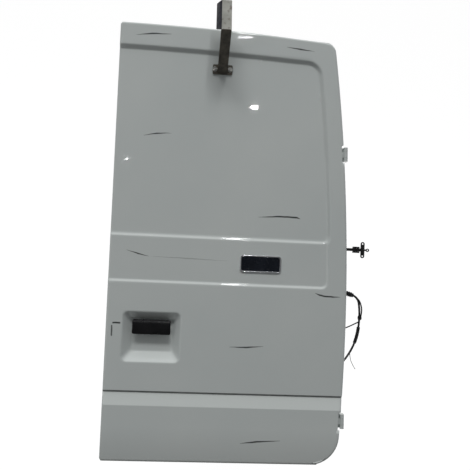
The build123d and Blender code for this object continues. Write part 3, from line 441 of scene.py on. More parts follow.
sleeve_line = [spot for spot in spline_line(main_route, fine_steps) if sleeve_low < spot.z < sleeve_high]
sleeve_mesh = tube_mesh("tape_sleeve", sleeve_line, taped(sleeve_radius), 18)
tape_sleeve = add_piece("tape_sleeve", sleeve_mesh, "loom_black")

knot_low, knot_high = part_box("loom_knot")
knot_middle = (knot_low + knot_high) / 2
knot_length = knot_high.z - knot_low.z
knot_heights = [knot_low.z + knot_length * ring / knot_rings for ring in range(knot_rings + 1)]
knot_line = [Vector((knot_middle.x, knot_middle.y, height)) for height in knot_heights]
knot_mesh = tube_mesh("tape_knot", knot_line, bundled, 20)
tape_knot = add_piece("tape_knot", knot_mesh, "loom_black", ["loom_knot"])
print("sleeve", round(line_length(sleeve_line), 4), "m and knot", round(knot_length, 4), "m long")

# %% [markdown]
# ## The loom and its wires
# The single wires are smooth, and only the main loom is wound.

# %% The loom and its wires
def plain(radius):
    return lambda along, angle: radius


def add_cord(
    name,
    node,
    route,
    radius,
    far_end,
    length,
    slot="loom_black",
    finish=None,
    wind=plain,
    steps=coarse_steps,
    on_it=(),
):
    line = spline_line(route, steps)
    mesh = tube_mesh(name, line, wind(radius), 14)
    piece = add_piece(name, mesh, slot, [node], finish=finish)
    print(name, "is", round(line_length(line), 4), "m long and said to be", length)


winding = dict(finish=loom_main_tape, wind=taped, steps=fine_steps, on_it=[tape_sleeve, tape_knot])
add_cord("taped_loom", "loom_main", main_route, 0.004, "object", 0.312, **winding)
add_cord("outer_wire", "loom_strand", strand_route, 0.0025, "knot", 0.094)
add_cord("branch_wire", "loom_branch", branch_route, 0.0022, "object", 0.110)
add_cord("tail_wire", "loom_tail", tail_route, 0.0012, "bare", 0.064, slot="loom_grey")

# %% [markdown]
# ## The rubber gaiter
# Where the loom leaves the door it runs in a rubber bellows with a flange that snaps into the panel's hole.
# The bellows is the same kind of tube, with a radius that rises and falls along it. The rubber is stiff
# enough to keep its shape, so it is not a cord.

# %% The rubber gaiter
gaiter_route = [(0.7764, 0.612, 0.033), (0.806, 0.612, 0.033), (0.866, 0.593, 0.033)]
gaiter_line = spline_line(gaiter_route, fine_steps)
gaiter_length = line_length(gaiter_line)
gaiter_radius = 0.0095
flange_from, flange_to = 0.006, 0.009
flange_radius = 0.015
fold_pitch = 0.0075
fold_depth = 0.002
neck_run = 0.010
neck_loss = 0.0025


def bellows(along, angle):
    if flange_from <= along <= flange_to:
        return flange_radius
    fold = fold_depth * (0.5 - 0.5 * math.cos(2 * math.pi * along / fold_pitch))
    neck = neck_loss * max(0.0, 1 - (gaiter_length - along) / neck_run)
    return gaiter_radius - fold - neck


gaiter_mesh = tube_mesh("gaiter_bellows", gaiter_line, bellows, 28)
add_piece("gaiter_bellows", gaiter_mesh, "black_rubber", ["loom_gaiter"])
print("gaiter is", round(gaiter_length, 4), "m long with", int(gaiter_length / fold_pitch), "folds")

# %% [markdown]
# ## Stage
# A roll of pale paper runs under the door as a floor and sweeps up behind it. Its section is two straight
# lines joined by a quarter circle, drawn out sideways.

# %% Stage
floor_gap = 0.25
floor_level = cad_low.z - floor_gap
sweep_front = -8.0
sweep_end = 7.0
sweep_half = 12.0
sweep_height = 9.0
sweep_radius = 2.0

section = [(sweep_front, floor_level)]
for angle in range(0, 91, 10):
    turn = math.radians(angle)
    back = sweep_end - sweep_radius + sweep_radius * math.sin(turn)
    section.append((back, floor_level + sweep_radius * (1 - math.cos(turn))))
section.append((sweep_end, sweep_height))
sweep_points = [(side * sweep_half, y, z) for y, z in section for side in (-1, 1)]
sweep_faces = [(2 * i, 2 * i + 1, 2 * i + 3, 2 * i + 2) for i in range(len(section) - 1)]
studio_sweep = add_object("studio_sweep", smooth_mesh("studio_sweep", sweep_points, sweep_faces))
print("stage floor", round(floor_gap, 3), "m under the door")

# %% [markdown]
# ## Paper and air
# Behind the door the paper glows a little, as a lit paper roll does, so that the door is seen against white.
# A pale floor also throws light up under the ledges, where the photograph is dark. So paper and air are pale
# to the eye but pass little light on: the Light Path node tells a look from a bounce. More light comes from
# straight overhead than from the sides.

# %% Paper and air
paper_bounce = (0.16, 0.16, 0.16)
paper_seen = (0.22, 0.22, 0.22)
paper_glow = 0.75
paper_glow_seen = 0.88
glow_from, glow_to = 0.1, 0.42
air_colour = (0.95, 0.98, 1.0, 1.0)
side_light, overhead_light = 0.12, 0.7
air_seen = 1.06


def camera_sees(tree):
    return add_node(tree, "LightPath").outputs["Is Camera Ray"]


def seen_as(tree, seen, bounce):
    return calc(tree, "MULTIPLY_ADD", camera_sees(tree), calc(tree, "SUBTRACT", seen, bounce), bounce)


paper = base_finish("studio_paper", paper_bounce, paper_seen, 1.0, (0.85, 0.95), 0.02, 50)
paper_tree = paper["tree"]
behind = axis_of(paper_tree, paper["where"], "Y")
glow = stretched(paper_tree, behind, glow_from, glow_to, 0.0, paper_glow)
dress(paper, {"Base Color": mixed(paper_tree, camera_sees(paper_tree), paper_bounce, paper_seen)})
dress(paper, {"Emission Strength": seen_as(paper_tree, paper_glow_seen, glow)})
dress(paper, {"Emission Color": (1.0, 1.0, 1.0, 1.0), "Specular IOR Level": 0.1})
studio_sweep.data.materials.append(paper["material"])

world = bpy.data.worlds.new("studio_air")
bpy.context.scene.world = world
world.use_nodes = True
air = world.node_tree
upward = axis_of(air, add_node(air, "TexCoord").outputs["Generated"], "Z")
overhead = stretched(air, upward, 0.5, 1.0, side_light, overhead_light)
feed(air, air.nodes["Background"], {"Color": air_colour, "Strength": seen_as(air, air_seen, overhead)})
bpy.context.scene.view_settings.view_transform = "Standard"
print("the paper starts to glow between", glow_from, "and", glow_to, "m behind the origin")

# %% [markdown]
# ## Lamps
# One wide lamp stands far away, high up in front, so its light is nearly parallel: ledges that look up are
# bright and ledges that look down are dark. A long narrow lamp overhead draws short bright strips on the
# ledges. Three small bare lamps stand where the photograph's bright spots say they were: a glossy panel is a
# mirror, so a lamp's place follows from the camera's mirror image and the spot that it makes.

# %% Lamps
def area_lamp(name, spot, target, size, power, colour=(1.0, 1.0, 1.0), shape="RECTANGLE"):
    data = bpy.data.lights.new(name, "AREA")
    data.shape = shape
    data.size, data.size_y = size
    data.energy = power
    data.color = colour
    lamp = add_object(name, data)
    lamp.location = spot
    lamp.rotation_euler = (Vector(target) - Vector(spot)).to_track_quat("-Z", "Y").to_euler()
    return lamp


high_spot = (-4.0, -17.5, 24.4)
high_lamp = area_lamp("high_lamp", high_spot, place(0.42, 0.75, 0.0), (15.0, 4.0), 2700, (1.0, 1.0, 0.99))
high_lamp.visible_glossy = False
area_lamp("tube_lamp", (-0.10, -2.2, 3.65), place(0.43, 0.77, 0.0), (0.17, 1.5), 13)
area_lamp("side_lamp", (-2.8, -2.4, 0.4), place(0.4, 0.4, 0.0), (1.2, 1.6), 5, (1.0, 1.0, 0.985))

mirror_reach = 1.3
bright_spots = [
    ("bare_lamp", (0.480, 1.244, 0.012), (0.055, 0.024), 0.66, "ELLIPSE"),
    ("small_lamp", (0.043, 1.036, 0.012), (0.011, 0.011), 0.10, "DISK"),
    ("strip_lamp", (0.435, 1.487, 0.0), (0.12, 0.004), 0.18, "RECTANGLE"),
]
for name, seen_at, size, power, shape in bright_spots:
    spot = place(*seen_at)
    mirrored = Vector((camera_place.x, 2 * spot.y - camera_place.y, camera_place.z))
    area_lamp(name, spot + (spot - mirrored) * mirror_reach, spot, size, power, shape=shape)

# %% [markdown]
# ## Outline of the leaf
# The door's long edge is one arc with a flatter arc above it, and the top is a third arc. Three points or a
# tangent fix each circle, so the outline is found from a few measured places instead of a list of points.

# %% Outline of the leaf
def circle_through(a, b, c):
    rows = np.array([[b[0] - a[0], b[1] - a[1]], [c[0] - a[0], c[1] - a[1]]])
    half = np.array([np.dot(b, b) - np.dot(a, a), np.dot(c, c) - np.dot(a, a)]) / 2
    centre = np.linalg.solve(rows, half)
    return centre, float(np.hypot(*(centre - a)))


edge_foot = np.array((0.822, 0.0))
edge_waist = np.array((0.836, 0.4))
edge_shoulder = np.array((0.815, 1.006))
edge_head = np.array((0.7595, 1.493))
waist_centre, waist_radius = circle_through(edge_foot, edge_waist, edge_shoulder)
inward = (waist_centre - edge_shoulder) / waist_radius
rise = edge_head - edge_shoulder
shoulder_radius = float(rise.dot(rise) / (2 * rise.dot(inward)))
shoulder_centre = edge_shoulder + inward * shoulder_radius
head_drop = leaf_height - edge_head[1]
top_radius = (edge_head[0] ** 2 + head_drop**2) / (2 * head_drop)


def edge_at(v):
    low = waist_centre[0] + np.sqrt(waist_radius**2 - (v - waist_centre[1]) ** 2)
    high = shoulder_centre[0] + np.sqrt(np.maximum(shoulder_radius**2 - (v - shoulder_centre[1]) ** 2, 0))
    return np.where(v <= edge_shoulder[1], low, high)


def top_at(u):
    return leaf_height - top_radius + np.sqrt(top_radius**2 - u**2)


print("edge radii", [round(r, 2) for r in (waist_radius, shoulder_radius, top_radius)], "m")

# %% [markdown]
# ## Walls of the pressings
# A press forms a blank window recess, a shallower band, a crease and the handle's pocket into one sheet.
# A boolean cut would leave knife edges, and sheet metal has none. So the depth is a formula: each wall is a
# slope between two rounded bends, measured by the distance inside the pressing's outline.

# %% Walls of the pressings
def eased(distance, width):
    bend = (distance + width) ** 2 / (4 * width)
    return np.where(distance < -width, 0.0, np.where(distance > width, distance, bend))


def wall(distance, run, depth, rim, foot):
    return depth / run * (eased(distance, rim) - eased(distance - run, foot))


def round_corner(a, b, radius):
    corner = radius - np.hypot(radius - a, radius - b)
    return np.where((a < radius) & (b < radius), corner, np.minimum(a, b))


def deeper(a, b, blend):
    gap = np.abs(a - b)
    return np.maximum(a, b) + np.where(gap < blend, (blend - gap) ** 2 / (4 * blend), 0.0)


print("a wall half way down is", float(wall(0.005, 0.010, 0.006, 0.003, 0.003)), "m deep")

# %% [markdown]
# ## Window, band and crease
# The window recess keeps an even border to the curved edge and the curved top, and its sill is gentler than
# its other walls. The band below it starts a little further from the edge and is half as deep. The crease is
# a narrow ledge with a long slope under it that brings the face back to the flat.

# %% Window, band and crease
window_border = 0.057
window_head_border = 0.078
window_head_radius = 0.048
window_sill = 0.7615
window_sill_radius = 0.029
sill_steepness = 0.68
window_run = 0.013
window_deep = 0.012
window_bend = 0.004
band_border = 0.066
band_foot = 0.611
band_radius = 0.027
band_end = 1.1
band_run = 0.010
band_deep = 0.006
band_bend = 0.003
window_band_blend = 0.002


def window_depth(u, v):
    hinge_side = edge_at(v) - window_border - u
    head = round_corner(hinge_side, top_at(u) - window_head_border - v, window_head_radius)
    sill = round_corner(hinge_side, (v - window_sill) * sill_steepness, window_sill_radius)
    window = wall(np.minimum(head, sill), window_run, window_deep, window_bend, window_bend)
    band_side = round_corner(edge_at(v) - band_border - u, v - band_foot, band_radius)
    band = wall(np.minimum(band_side, band_end - v), band_run, band_deep, band_bend, band_bend)
    return deeper(window, band, window_band_blend)


crease_top = 0.241
crease_run = 0.0045
crease_deep = 0.0065
crease_bend = 0.0014
slope_run = 0.0505
slope_foot_bend = 0.004


def crease_depth(v):
    ledge = wall(crease_top - v, crease_run, crease_deep, crease_bend, crease_bend)
    return ledge - wall(crease_top - crease_run - v, slope_run, crease_deep, crease_bend, slope_foot_bend)


print("window", float(window_depth(0.4, 1.1)), "band", float(window_depth(0.4, 0.7)))

# %% [markdown]
# ## The handle's pocket
# The pocket is a funnel: its rim and its floor are rounded rectangles that don't share a centre, and the
# four walls have different slopes. How far down the funnel a point lies is found by halving: the rectangle
# that passes through the point is searched between rim and floor.

# %% The handle's pocket
pocket_rim = dict(left=0.056, right=0.257, bottom=0.339, top=0.511, radius=0.018)
pocket_floor = dict(left=0.087, right=0.229, bottom=0.371, top=0.484, radius=0.018)
pocket_deep = 0.034
rim_bend_share = 0.13
floor_bend_share = 0.16
search_low, search_high = -0.4, 1.4
halvings = 24


def outside_rectangle(u, v, share):
    side = {key: pocket_rim[key] + (pocket_floor[key] - pocket_rim[key]) * share for key in pocket_rim}
    across = np.abs(u - (side["left"] + side["right"]) / 2) - (side["right"] - side["left"]) / 2
    upward = np.abs(v - (side["bottom"] + side["top"]) / 2) - (side["top"] - side["bottom"]) / 2
    across, upward = across + side["radius"], upward + side["radius"]
    beyond = np.hypot(np.maximum(across, 0), np.maximum(upward, 0))
    return beyond + np.minimum(np.maximum(across, upward), 0) - side["radius"]


def pocket_depth(u, v):
    low = np.full(np.shape(u), search_low)
    high = np.full(np.shape(u), search_high)
    for _ in range(halvings):
        middle = (low + high) / 2
        inside = outside_rectangle(u, v, middle) < 0
        low = np.where(inside, middle, low)
        high = np.where(inside, high, middle)
    return pocket_deep * (eased(low, rim_bend_share) - eased(low - 1, floor_bend_share))


def face_depth(u, v):
    pressed = np.maximum(window_depth(u, v), crease_depth(v))
    return np.maximum(pressed, pocket_depth(u, v))


print("pocket floor", float(pocket_depth(np.array(0.16), np.array(0.43))))

# %% [markdown]
# ## A grid that bends with the door
# The skin is one grid of four-sided faces. Its columns near the hinges follow the curved edge and its rows
# near the top follow the curved top, so the walls of the pressings run along grid lines and stay crisp.
# Rows and columns are close together only where the sheet bends: each pair below is a place and the step
# from there to the next place.

# %% A grid that bends with the door
rim_radius = 0.008
foot_corner = 0.095
head_corner = 0.032
notch_heights = (0.152, leaf_height - 0.422)
notch_half = 0.031
notch_lip = 0.0008


def spread(*stretches):
    places = [stretches[0][0]]
    for (start, step), (end, _) in zip(stretches, stretches[1:]):
        count = max(1, round((end - start) / step))
        places += [start + (end - start) * (i + 1) / count for i in range(count)]
    return np.array(places)


def notch_rows(height):
    low, high = height - notch_half, height + notch_half
    return [(low - notch_lip, notch_lip), (low, 0.010), (high, notch_lip), (high + notch_lip, 0.0014)]


foot_arc = foot_corner - (foot_corner - rim_radius) * np.cos(np.linspace(0, math.pi / 2, 12))
head_arc = leaf_height - head_corner + (head_corner - rim_radius) * np.sin(np.linspace(0, math.pi / 2, 8))
middle_rows = spread(
    (foot_arc[-1], 0.012),
    *notch_rows(notch_heights[0]),
    (0.192, 0.010),
    (0.226, 0.0012),
    (0.245, 0.014),
    (0.322, 0.0032),
    (0.520, 0.014),
    (0.602, 0.002),
    (0.645, 0.014),
    (0.756, 0.002),
    (0.815, 0.016),
    *notch_rows(notch_heights[1]),
    (notch_heights[1] + 0.034, 0.014),
    (1.370, 0.002),
    (1.442, 0.010),
    (head_arc[0], 0.010),
)
rows = np.concatenate([foot_arc[:-1], middle_rows, head_arc[1:]])
columns = spread(
    (rim_radius, 0.003),
    (0.014, 0.009),
    (0.045, 0.0032),
    (0.270, 0.018),
    (0.716, 0.002),
    (0.786, 0.007),
    (edge_waist[0] - rim_radius, 0.001),
)
print("skin grid", len(rows), "rows by", len(columns), "columns")

# %% [markdown]
# ## Places of the grid
# Each row bends down with the top, more and more between two heights, and each column bends in with the long
# edge. In the two rounded corners the outer columns are also pulled in, and the columns beside them by half,
# so that no face is squeezed to nothing.

# %% Places of the grid
top_follow_from, top_follow_full = 1.25, 1.37
edge_follow_from, edge_follow_full = 0.30, 0.716
corner_pull_from = 0.79
half_pull_from, half_pull_run = 0.6, 0.2
foot_bend = foot_corner - rim_radius
head_bend = head_corner - rim_radius

follow_top = np.clip((rows - top_follow_from) / (top_follow_full - top_follow_from), 0, 1)[:, None]
grid_v = rows[:, None] - follow_top * (leaf_height - top_at(columns))[None, :]
corner_shift = np.zeros(len(rows))
low_rows = rows < foot_corner
corner_shift[low_rows] = foot_bend - np.sqrt(foot_bend**2 - (foot_corner - rows[low_rows]) ** 2)
high_rows = rows > leaf_height - head_corner
rise_in_corner = rows[high_rows] - (leaf_height - head_corner)
corner_shift[high_rows] = head_bend - np.sqrt(np.maximum(head_bend**2 - rise_in_corner**2, 0))
follow_edge = np.clip((columns - edge_follow_from) / (edge_follow_full - edge_follow_from), 0, 1)[None, :]
pull_in = np.clip((columns - corner_pull_from) / (columns[-1] - corner_pull_from), 0, 1)[None, :]
half_pull = 0.5 * np.clip((columns - half_pull_from) / half_pull_run, 0, 1)[None, :]
pull_in = np.maximum(pull_in, half_pull)
grid_u = columns[None, :] - follow_edge * (edge_waist[0] - edge_at(grid_v)) - corner_shift[:, None] * pull_in
grid_depth = face_depth(grid_u, grid_v)

in_notch = np.zeros(len(rows), bool)
for height in notch_heights:
    in_notch |= np.abs(rows - height) < notch_half + notch_lip / 4
print("deepest point", round(float(grid_depth.max()) * 1000, 1), "mm; rows in notches", int(in_notch.sum()))

# %% [markdown]
# ## The folded edge
# The grid covers the flat face up to the bend of the folded edge. The folded edge is then drawn round it: a
# quarter bend, the side wall and the hem that grips the inner panel. The hinge notches are rows where the
# edge starts further in. Along the latch edge the bend gets smaller where a pressing runs out to it.

# %% The rim of the grid
notch_depth = 0.008
notch_bend = 0.0025
latch_bend_loss = 0.005

count_v, count_u = grid_u.shape
loop = [(0, c) for c in range(count_u)]
loop += [(r, count_u - 1) for r in range(1, count_v)]
loop += [(count_v - 1, c) for c in range(count_u - 2, -1, -1)]
loop += [(r, 0) for r in range(count_v - 2, 0, -1)]
ring = np.array([(grid_u[spot], grid_v[spot]) for spot in loop])
tangent = np.roll(ring, -1, axis=0) - np.roll(ring, 1, axis=0)
outward = np.stack([tangent[:, 1], -tangent[:, 0]], axis=1)
outward /= np.linalg.norm(outward, axis=1)[:, None]
bends = np.full(len(loop), rim_radius)
for index, (r, c) in enumerate(loop):
    if c == count_u - 1 and in_notch[r]:
        bends[index] = notch_bend
        grid_u[r, c] -= notch_depth + notch_bend - rim_radius
    if c == 0:
        bends[index] = rim_radius - latch_bend_loss * min(1.0, float(grid_depth[r, 0]) / window_deep)
        grid_u[r, 0] = bends[index]


def rim_place(index, out, depth):
    u = grid_u[loop[index]] + outward[index, 0] * out
    v = grid_v[loop[index]] + outward[index, 1] * out
    return place(u, v, depth)


print("the rim has", len(loop), "places")

# %% The folded edge
edge_depth = 0.018
hem = 0.012
hem_bend = 0.0012
hem_bend_start = 0.0004


def edge_profile(bend, depth):
    quarter = [math.radians(angle) for angle in (22.5, 45.0, 67.5, 90.0)]
    steps = [(bend * math.sin(a), depth + bend * (1 - math.cos(a))) for a in quarter]
    steps.append((bend, edge_depth - hem_bend))
    steps.append((bend - hem_bend_start, edge_depth - hem_bend_start))
    steps.append((bend - hem_bend, edge_depth))
    steps.append((bend - hem, edge_depth))
    return steps


points = [place(u, v, d) for u, v, d in zip(grid_u.ravel(), grid_v.ravel(), grid_depth.ravel())]
faces = []
for r in range(count_v - 1):
    for c in range(count_u - 1):
        corner = r * count_u + c
        faces.append((corner, corner + 1, corner + count_u + 1, corner + count_u))
last = [r * count_u + c for r, c in loop]
profiles = [edge_profile(bend, float(grid_depth[spot])) for bend, spot in zip(bends, loop)]
for step in range(len(profiles[0])):
    fresh = list(range(len(points), len(points) + len(loop)))
    points += [rim_place(index, *profile[step]) for index, profile in enumerate(profiles)]
    for i in range(len(loop)):
        j = (i + 1) % len(loop)
        faces.append((last[i], fresh[i], fresh[j], last[j]))
    last = fresh
skin_mesh = smooth_mesh("door_skin", points, faces)
print("skin has", len(faces), "faces before its thickness")

# %% [markdown]
# ## White paint
# Solid white paint is a pale coat over primer, under a clear gloss, with the slight ripple that spraying
# leaves. The ripple is a second, much wider bump that feeds the grain's bump.

# %% White paint
white_look = ((0.66, 0.70, 0.69), (0.70, 0.735, 0.72), 2.2, (0.42, 0.52), 0.012, 420)
ripple_scale = 5.0
ripple_height = 0.004


def paint_finish(name):
    paint = base_finish(name, *white_look, coat=1.0)
    dress(paint, {"Specular IOR Level": 0.2, "Coat Roughness": 0.03})
    ripple = noise(paint["tree"], paint["where"], ripple_scale, 1.0)
    sag = add_node(paint["tree"], "Bump", {"Height": ripple, "Strength": 0.02, "Distance": ripple_height})
    feed(paint["tree"], paint["bump"], {"Normal": sag.outputs["Normal"]})
    return paint


skin_paint = paint_finish("white_paint_outside")
paint_tree = skin_paint["tree"]
print("paint ready:", skin_paint["material"].name)

# %% [markdown]
# ## One scratch
# The door has a handful of dark, tapered scrapes. They could be separate strips, but a scrape is part of the
# paint, so it is drawn in the paint's own nodes: the distance from a line, compared with a width that may
# taper. A node group holds the sums for one straight stretch, and is used again for every other.

# %% One scratch
scratch_inputs = {
    "Place": "Vector",
    "Start": "Vector",
    "End": "Vector",
    "Wide Start": "Float",
    "Wide End": "Float",
}
least_width = 0.00001
mark_fade = 1.3


def scratch_group():
    group = bpy.data.node_groups.new("scratch_mark", "ShaderNodeTree")
    for name, kind in scratch_inputs.items():
        group.interface.new_socket(name, in_out="INPUT", socket_type="NodeSocket" + kind)
    group.interface.new_socket("Mark", in_out="OUTPUT", socket_type="NodeSocketFloat")
    given = group.nodes.new("NodeGroupInput").outputs
    result = group.nodes.new("NodeGroupOutput")
    line = vector_calc(group, "SUBTRACT", given["End"], given["Start"])
    offset = vector_calc(group, "SUBTRACT", given["Place"], given["Start"])
    reach = vector_calc(group, "DOT_PRODUCT", line, line, output="Value")
    covered = vector_calc(group, "DOT_PRODUCT", offset, line, output="Value")
    along = calc(group, "DIVIDE", covered, reach, clamp=True)
    nearest = vector_calc(group, "SCALE", line, Scale=along)
    distance = vector_calc(group, "LENGTH", vector_calc(group, "SUBTRACT", offset, nearest), output="Value")
    growth = calc(group, "SUBTRACT", given["Wide End"], given["Wide Start"])
    width = calc(group, "MULTIPLY_ADD", growth, along, given["Wide Start"])
    width = calc(group, "MAXIMUM", width, least_width)
    mark = calc(group, "SUBTRACT", mark_fade, calc(group, "DIVIDE", distance, width), clamp=True)
    group.links.new(mark, result.inputs["Mark"])
    return group


mark_group = scratch_group()
print("scratch group has", len(mark_group.nodes), "nodes")

# %% [markdown]
# ## Scratches on the outer skin
# Each scrape below has a width, a strength and the places (u, v) that it passes. A little noise makes its
# line wander, its ends are drawn thin, and only the outer side of the sheet shows it.

# %% Scratches on the outer skin
scratches = [
    (0.0030, 1.0, [(0.0566, 1.4698), (0.112, 1.4785), (0.178, 1.4801)]),
    (0.0030, 1.0, [(0.5865, 1.4622), (0.635, 1.4576), (0.685, 1.4526)]),
    (0.0026, 1.0, [(0.0977, 1.1221), (0.1422, 1.1317), (0.1942, 1.1347)]),
    (0.0032, 1.0, [(0.5086, 0.8558), (0.585, 0.8615), (0.647, 0.8607), (0.6597, 0.856)]),
    (0.0024, 1.0, [(0.0586, 0.7214), (0.098, 0.710), (0.1351, 0.7023)]),
    (0.0020, 0.35, [(0.1351, 0.7023), (0.27, 0.700), (0.4133, 0.697)]),
    (0.0030, 1.0, [(0.7219, 0.5975), (0.737, 0.5915), (0.758, 0.5878), (0.785, 0.5866), (0.8119, 0.5869)]),
    (0.0030, 1.0, [(0.4282, 0.3999), (0.487, 0.4005), (0.5454, 0.4056)]),
    (0.0034, 1.0, [(0.4793, 0.070), (0.5314, 0.0763), (0.6189, 0.0817)]),
    (0.0032, 1.0, [(0.0225, 0.4690), (0.0255, 0.4698), (0.047, 0.470), (0.0505, 0.4698)]),
    (0.0026, 0.9, [(0.0210, 0.4625), (0.0213, 0.460), (0.0218, 0.427), (0.0225, 0.4235)]),
]
tip_share = 0.15
wander_scale = 35.0
wander_reach = 0.003
outside_limit = -0.3

flat_place = vector_calc(paint_tree, "MULTIPLY", skin_paint["where"], (1.0, 0.0, 1.0))
wander = noise(paint_tree, flat_place, wander_scale, output="Color")
wander = vector_calc(paint_tree, "ADD", wander, (-0.5, -0.5, -0.5))
wander = vector_calc(paint_tree, "SCALE", wander, Scale=wander_reach)
flat_place = vector_calc(paint_tree, "ADD", flat_place, wander)


def scratch_stretch(start, end, wide_start, wide_end):
    ends = [Vector((spot.x, 0.0, spot.z)) for spot in (place(*start, 0.0), place(*end, 0.0))]
    values = {"Place": flat_place, "Start": ends[0], "End": ends[1]}
    values |= {"Wide Start": wide_start, "Wide End": wide_end}
    mark = add_node(paint_tree, "Group", node_tree=mark_group)
    feed(paint_tree, mark, values)
    return mark.outputs["Mark"]


marks = 0.0
for width, strength, line in scratches:
    widths = [tip_share * width] + [width] * (len(line) - 2) + [tip_share * width]
    for stretch in zip(line, line[1:], widths, widths[1:]):
        shown = calc(paint_tree, "MULTIPLY", scratch_stretch(*stretch), strength)
        marks = calc(paint_tree, "MAXIMUM", marks, shown)
facing = add_node(paint_tree, "TexCoord").outputs["Normal"]
outside = calc(paint_tree, "LESS_THAN", axis_of(paint_tree, facing, "Y"), outside_limit)
marks = calc(paint_tree, "MULTIPLY", marks, outside)
print("scratch stretches", sum(len(line) - 1 for _, _, line in scratches))

# %% [markdown]
# ## Painted top light, a darker foot and painted crease shade
# Painted light: where the sheet looks up it is painted lighter, as light from overhead would make it, so the
# surface's own direction says where: strongly on the long slope under the crease, and above that only on
# ledges that look well upward. The paint gets darker towards the foot of the door, and a patchy line of
# painted shade sits in the crease. The layers are laid over the paint in that order, with the scratches
# last.

# %% Painted top light, darker foot and crease shade
# Painted light: paint that looks up is mixed towards this lighter colour, most of all on the crease's slope.
top_light_changes = level_at(0.26)
top_light_colour = (0.88, 0.925, 0.905)
# The paint is mixed towards this grey, more and more towards the foot of the door.
foot_darkening_top, foot_darkening_bottom = level_at(0.12), level_at(0.0)
foot_darkening_most = 0.42
foot_darkening_colour = (0.40, 0.415, 0.405)
# Painted shade: a dark, patchy line along the crease's down-facing ledge.
crease_shade_line = level_at(0.2378)
crease_shade_reach, crease_shade_core = 0.0036, 0.0018
crease_shade_patches = 24.0
crease_shade_colour = (0.05, 0.052, 0.046)
scratch_colour = (0.016, 0.016, 0.015)
scratch_dullness = 0.4

height = axis_of(paint_tree, skin_paint["where"], "Z")
above_crease = calc(paint_tree, "GREATER_THAN", height, top_light_changes)


def by_height(on_slope, on_ledges):
    return calc(paint_tree, "MULTIPLY_ADD", above_crease, on_ledges - on_slope, on_slope)


looks_up = axis_of(paint_tree, facing, "Z")
# Painted light: how far the paint is lightened depends on how much the surface looks up.
top_light_from, top_light_to, top_light_most = by_height(0.05, 0.25), by_height(0.13, 0.47), by_height(1.0, 0.65)
top_lit = stretched(paint_tree, looks_up, top_light_from, top_light_to, 0.0, top_light_most)
# Darker towards the foot of the door.
foot_darkening = stretched(paint_tree, height, foot_darkening_top, foot_darkening_bottom, 0.0, foot_darkening_most)
# Painted shade: darkest on the crease line and gone within a few millimetres.
from_crease = calc(paint_tree, "ABSOLUTE", calc(paint_tree, "SUBTRACT", height, crease_shade_line))
crease_shade = stretched(paint_tree, from_crease, crease_shade_reach, crease_shade_core)
patchy = noise(paint_tree, skin_paint["where"], crease_shade_patches)
crease_shade = calc(paint_tree, "MULTIPLY", crease_shade, calc(paint_tree, "MULTIPLY_ADD", patchy, 0.5, 0.45))
crease_shade = calc(paint_tree, "MULTIPLY", crease_shade, outside)
layers = [(top_lit, top_light_colour), (foot_darkening, foot_darkening_colour), (crease_shade, crease_shade_colour), (marks, scratch_colour)]
colour = skin_paint["colour"]
for amount, layer_colour in layers:
    colour = mixed(paint_tree, amount, colour, layer_colour)
dull = calc(paint_tree, "MULTIPLY_ADD", marks, scratch_dullness, skin_paint["rough"])
dress(skin_paint, {"Base Color": colour, "Roughness": dull})
print("layers on the paint:", len(layers))

# %% [markdown]
# ## The finished skin
# The skin stands for the CAD sheet. A solidify modifier gives it its thickness on the inner side, so the
# outer face stays where it was drawn.

# %% The finished skin
sheet = 0.0015

door_skin = add_piece("door_skin", skin_mesh, "body_paint", ["outer_skin"], finish=skin_paint)
thickness = door_skin.modifiers.new("sheet", "SOLIDIFY")
thickness.thickness = sheet
thickness.offset = -1.0
print("skin is", sheet * 1000, "mm thick")

# %% [markdown]
# ## Plain finishes for the other solids
# The inner panel, the hinges and the fittings keep their CAD shapes. Each finish is named for what the real
# piece is made of: paint, grained plastic, grained board, zinc, coated steel, a bright rim, a dark plain
# plate and the arm's two steels, the lower one dark partly from rust and partly as painted shade. Each row
# gives the slot, then the finish's name, its two shades, how fine its clouds are, its roughness, the
# strength and fineness of its relief and, for bare metal, how metallic it is.

# %% Plain finishes
plain_looks = {
    "black_plastic": (
        "grained_plastic", (0.004, 0.004, 0.005), (0.009, 0.009, 0.01), 25, (0.25, 0.4), 0.2, 1400
    ),
    "trim_board": ("grained_board", (0.205, 0.21, 0.215), (0.24, 0.245, 0.25), 120, (0.6, 0.8), 0.6, 520),
    "zinc_steel": ("zinc_plate", (0.48, 0.48, 0.46), (0.62, 0.61, 0.57), 35, (0.25, 0.45), 0.15, 300, 1.0),
    "check_black": ("black_coat", (0.005, 0.005, 0.0055), (0.014, 0.014, 0.015), 30, (0.4, 0.6), 0.2, 500),
    "badge_chrome": ("bright_rim", (0.74, 0.75, 0.77), (0.82, 0.83, 0.85), 20, (0.08, 0.16), 0.03, 300, 1.0),
    "badge_enamel": ("slate_plate", (0.007, 0.009, 0.014), (0.012, 0.015, 0.022), 30, (0.2, 0.3), 0.03, 400),
    "arm_grey": ("galvanised", (0.33, 0.33, 0.295), (0.44, 0.44, 0.40), 22, (0.4, 0.65), 0.3, 220),
    # The lower arm's dark brown is partly rust and partly painted shade of its underside.
    "arm_dark": ("rusty_shaded_steel", (0.065, 0.06, 0.049), (0.16, 0.142, 0.115), 34, (0.55, 0.85), 0.6, 300),
}
finish_of_slot["body_paint"] = paint_finish("white_paint_inside")
for slot, look in plain_looks.items():
    finish_of_slot[slot] = base_finish(*look)
dress(finish_of_slot["black_plastic"], {"Specular IOR Level": 0.35})
dress(finish_of_slot["badge_enamel"], {"Specular IOR Level": 0.3})
print("finishes for the slots", list(finish_of_slot))

# %% [markdown]
# ## Wear and painted shade on the arm
# The arm's upper tube is galvanised and spotted with rust, and its left flank is painted nearly black, as
# painted shade. The flank is found by the surface's own direction, so it stays put when the door swings.

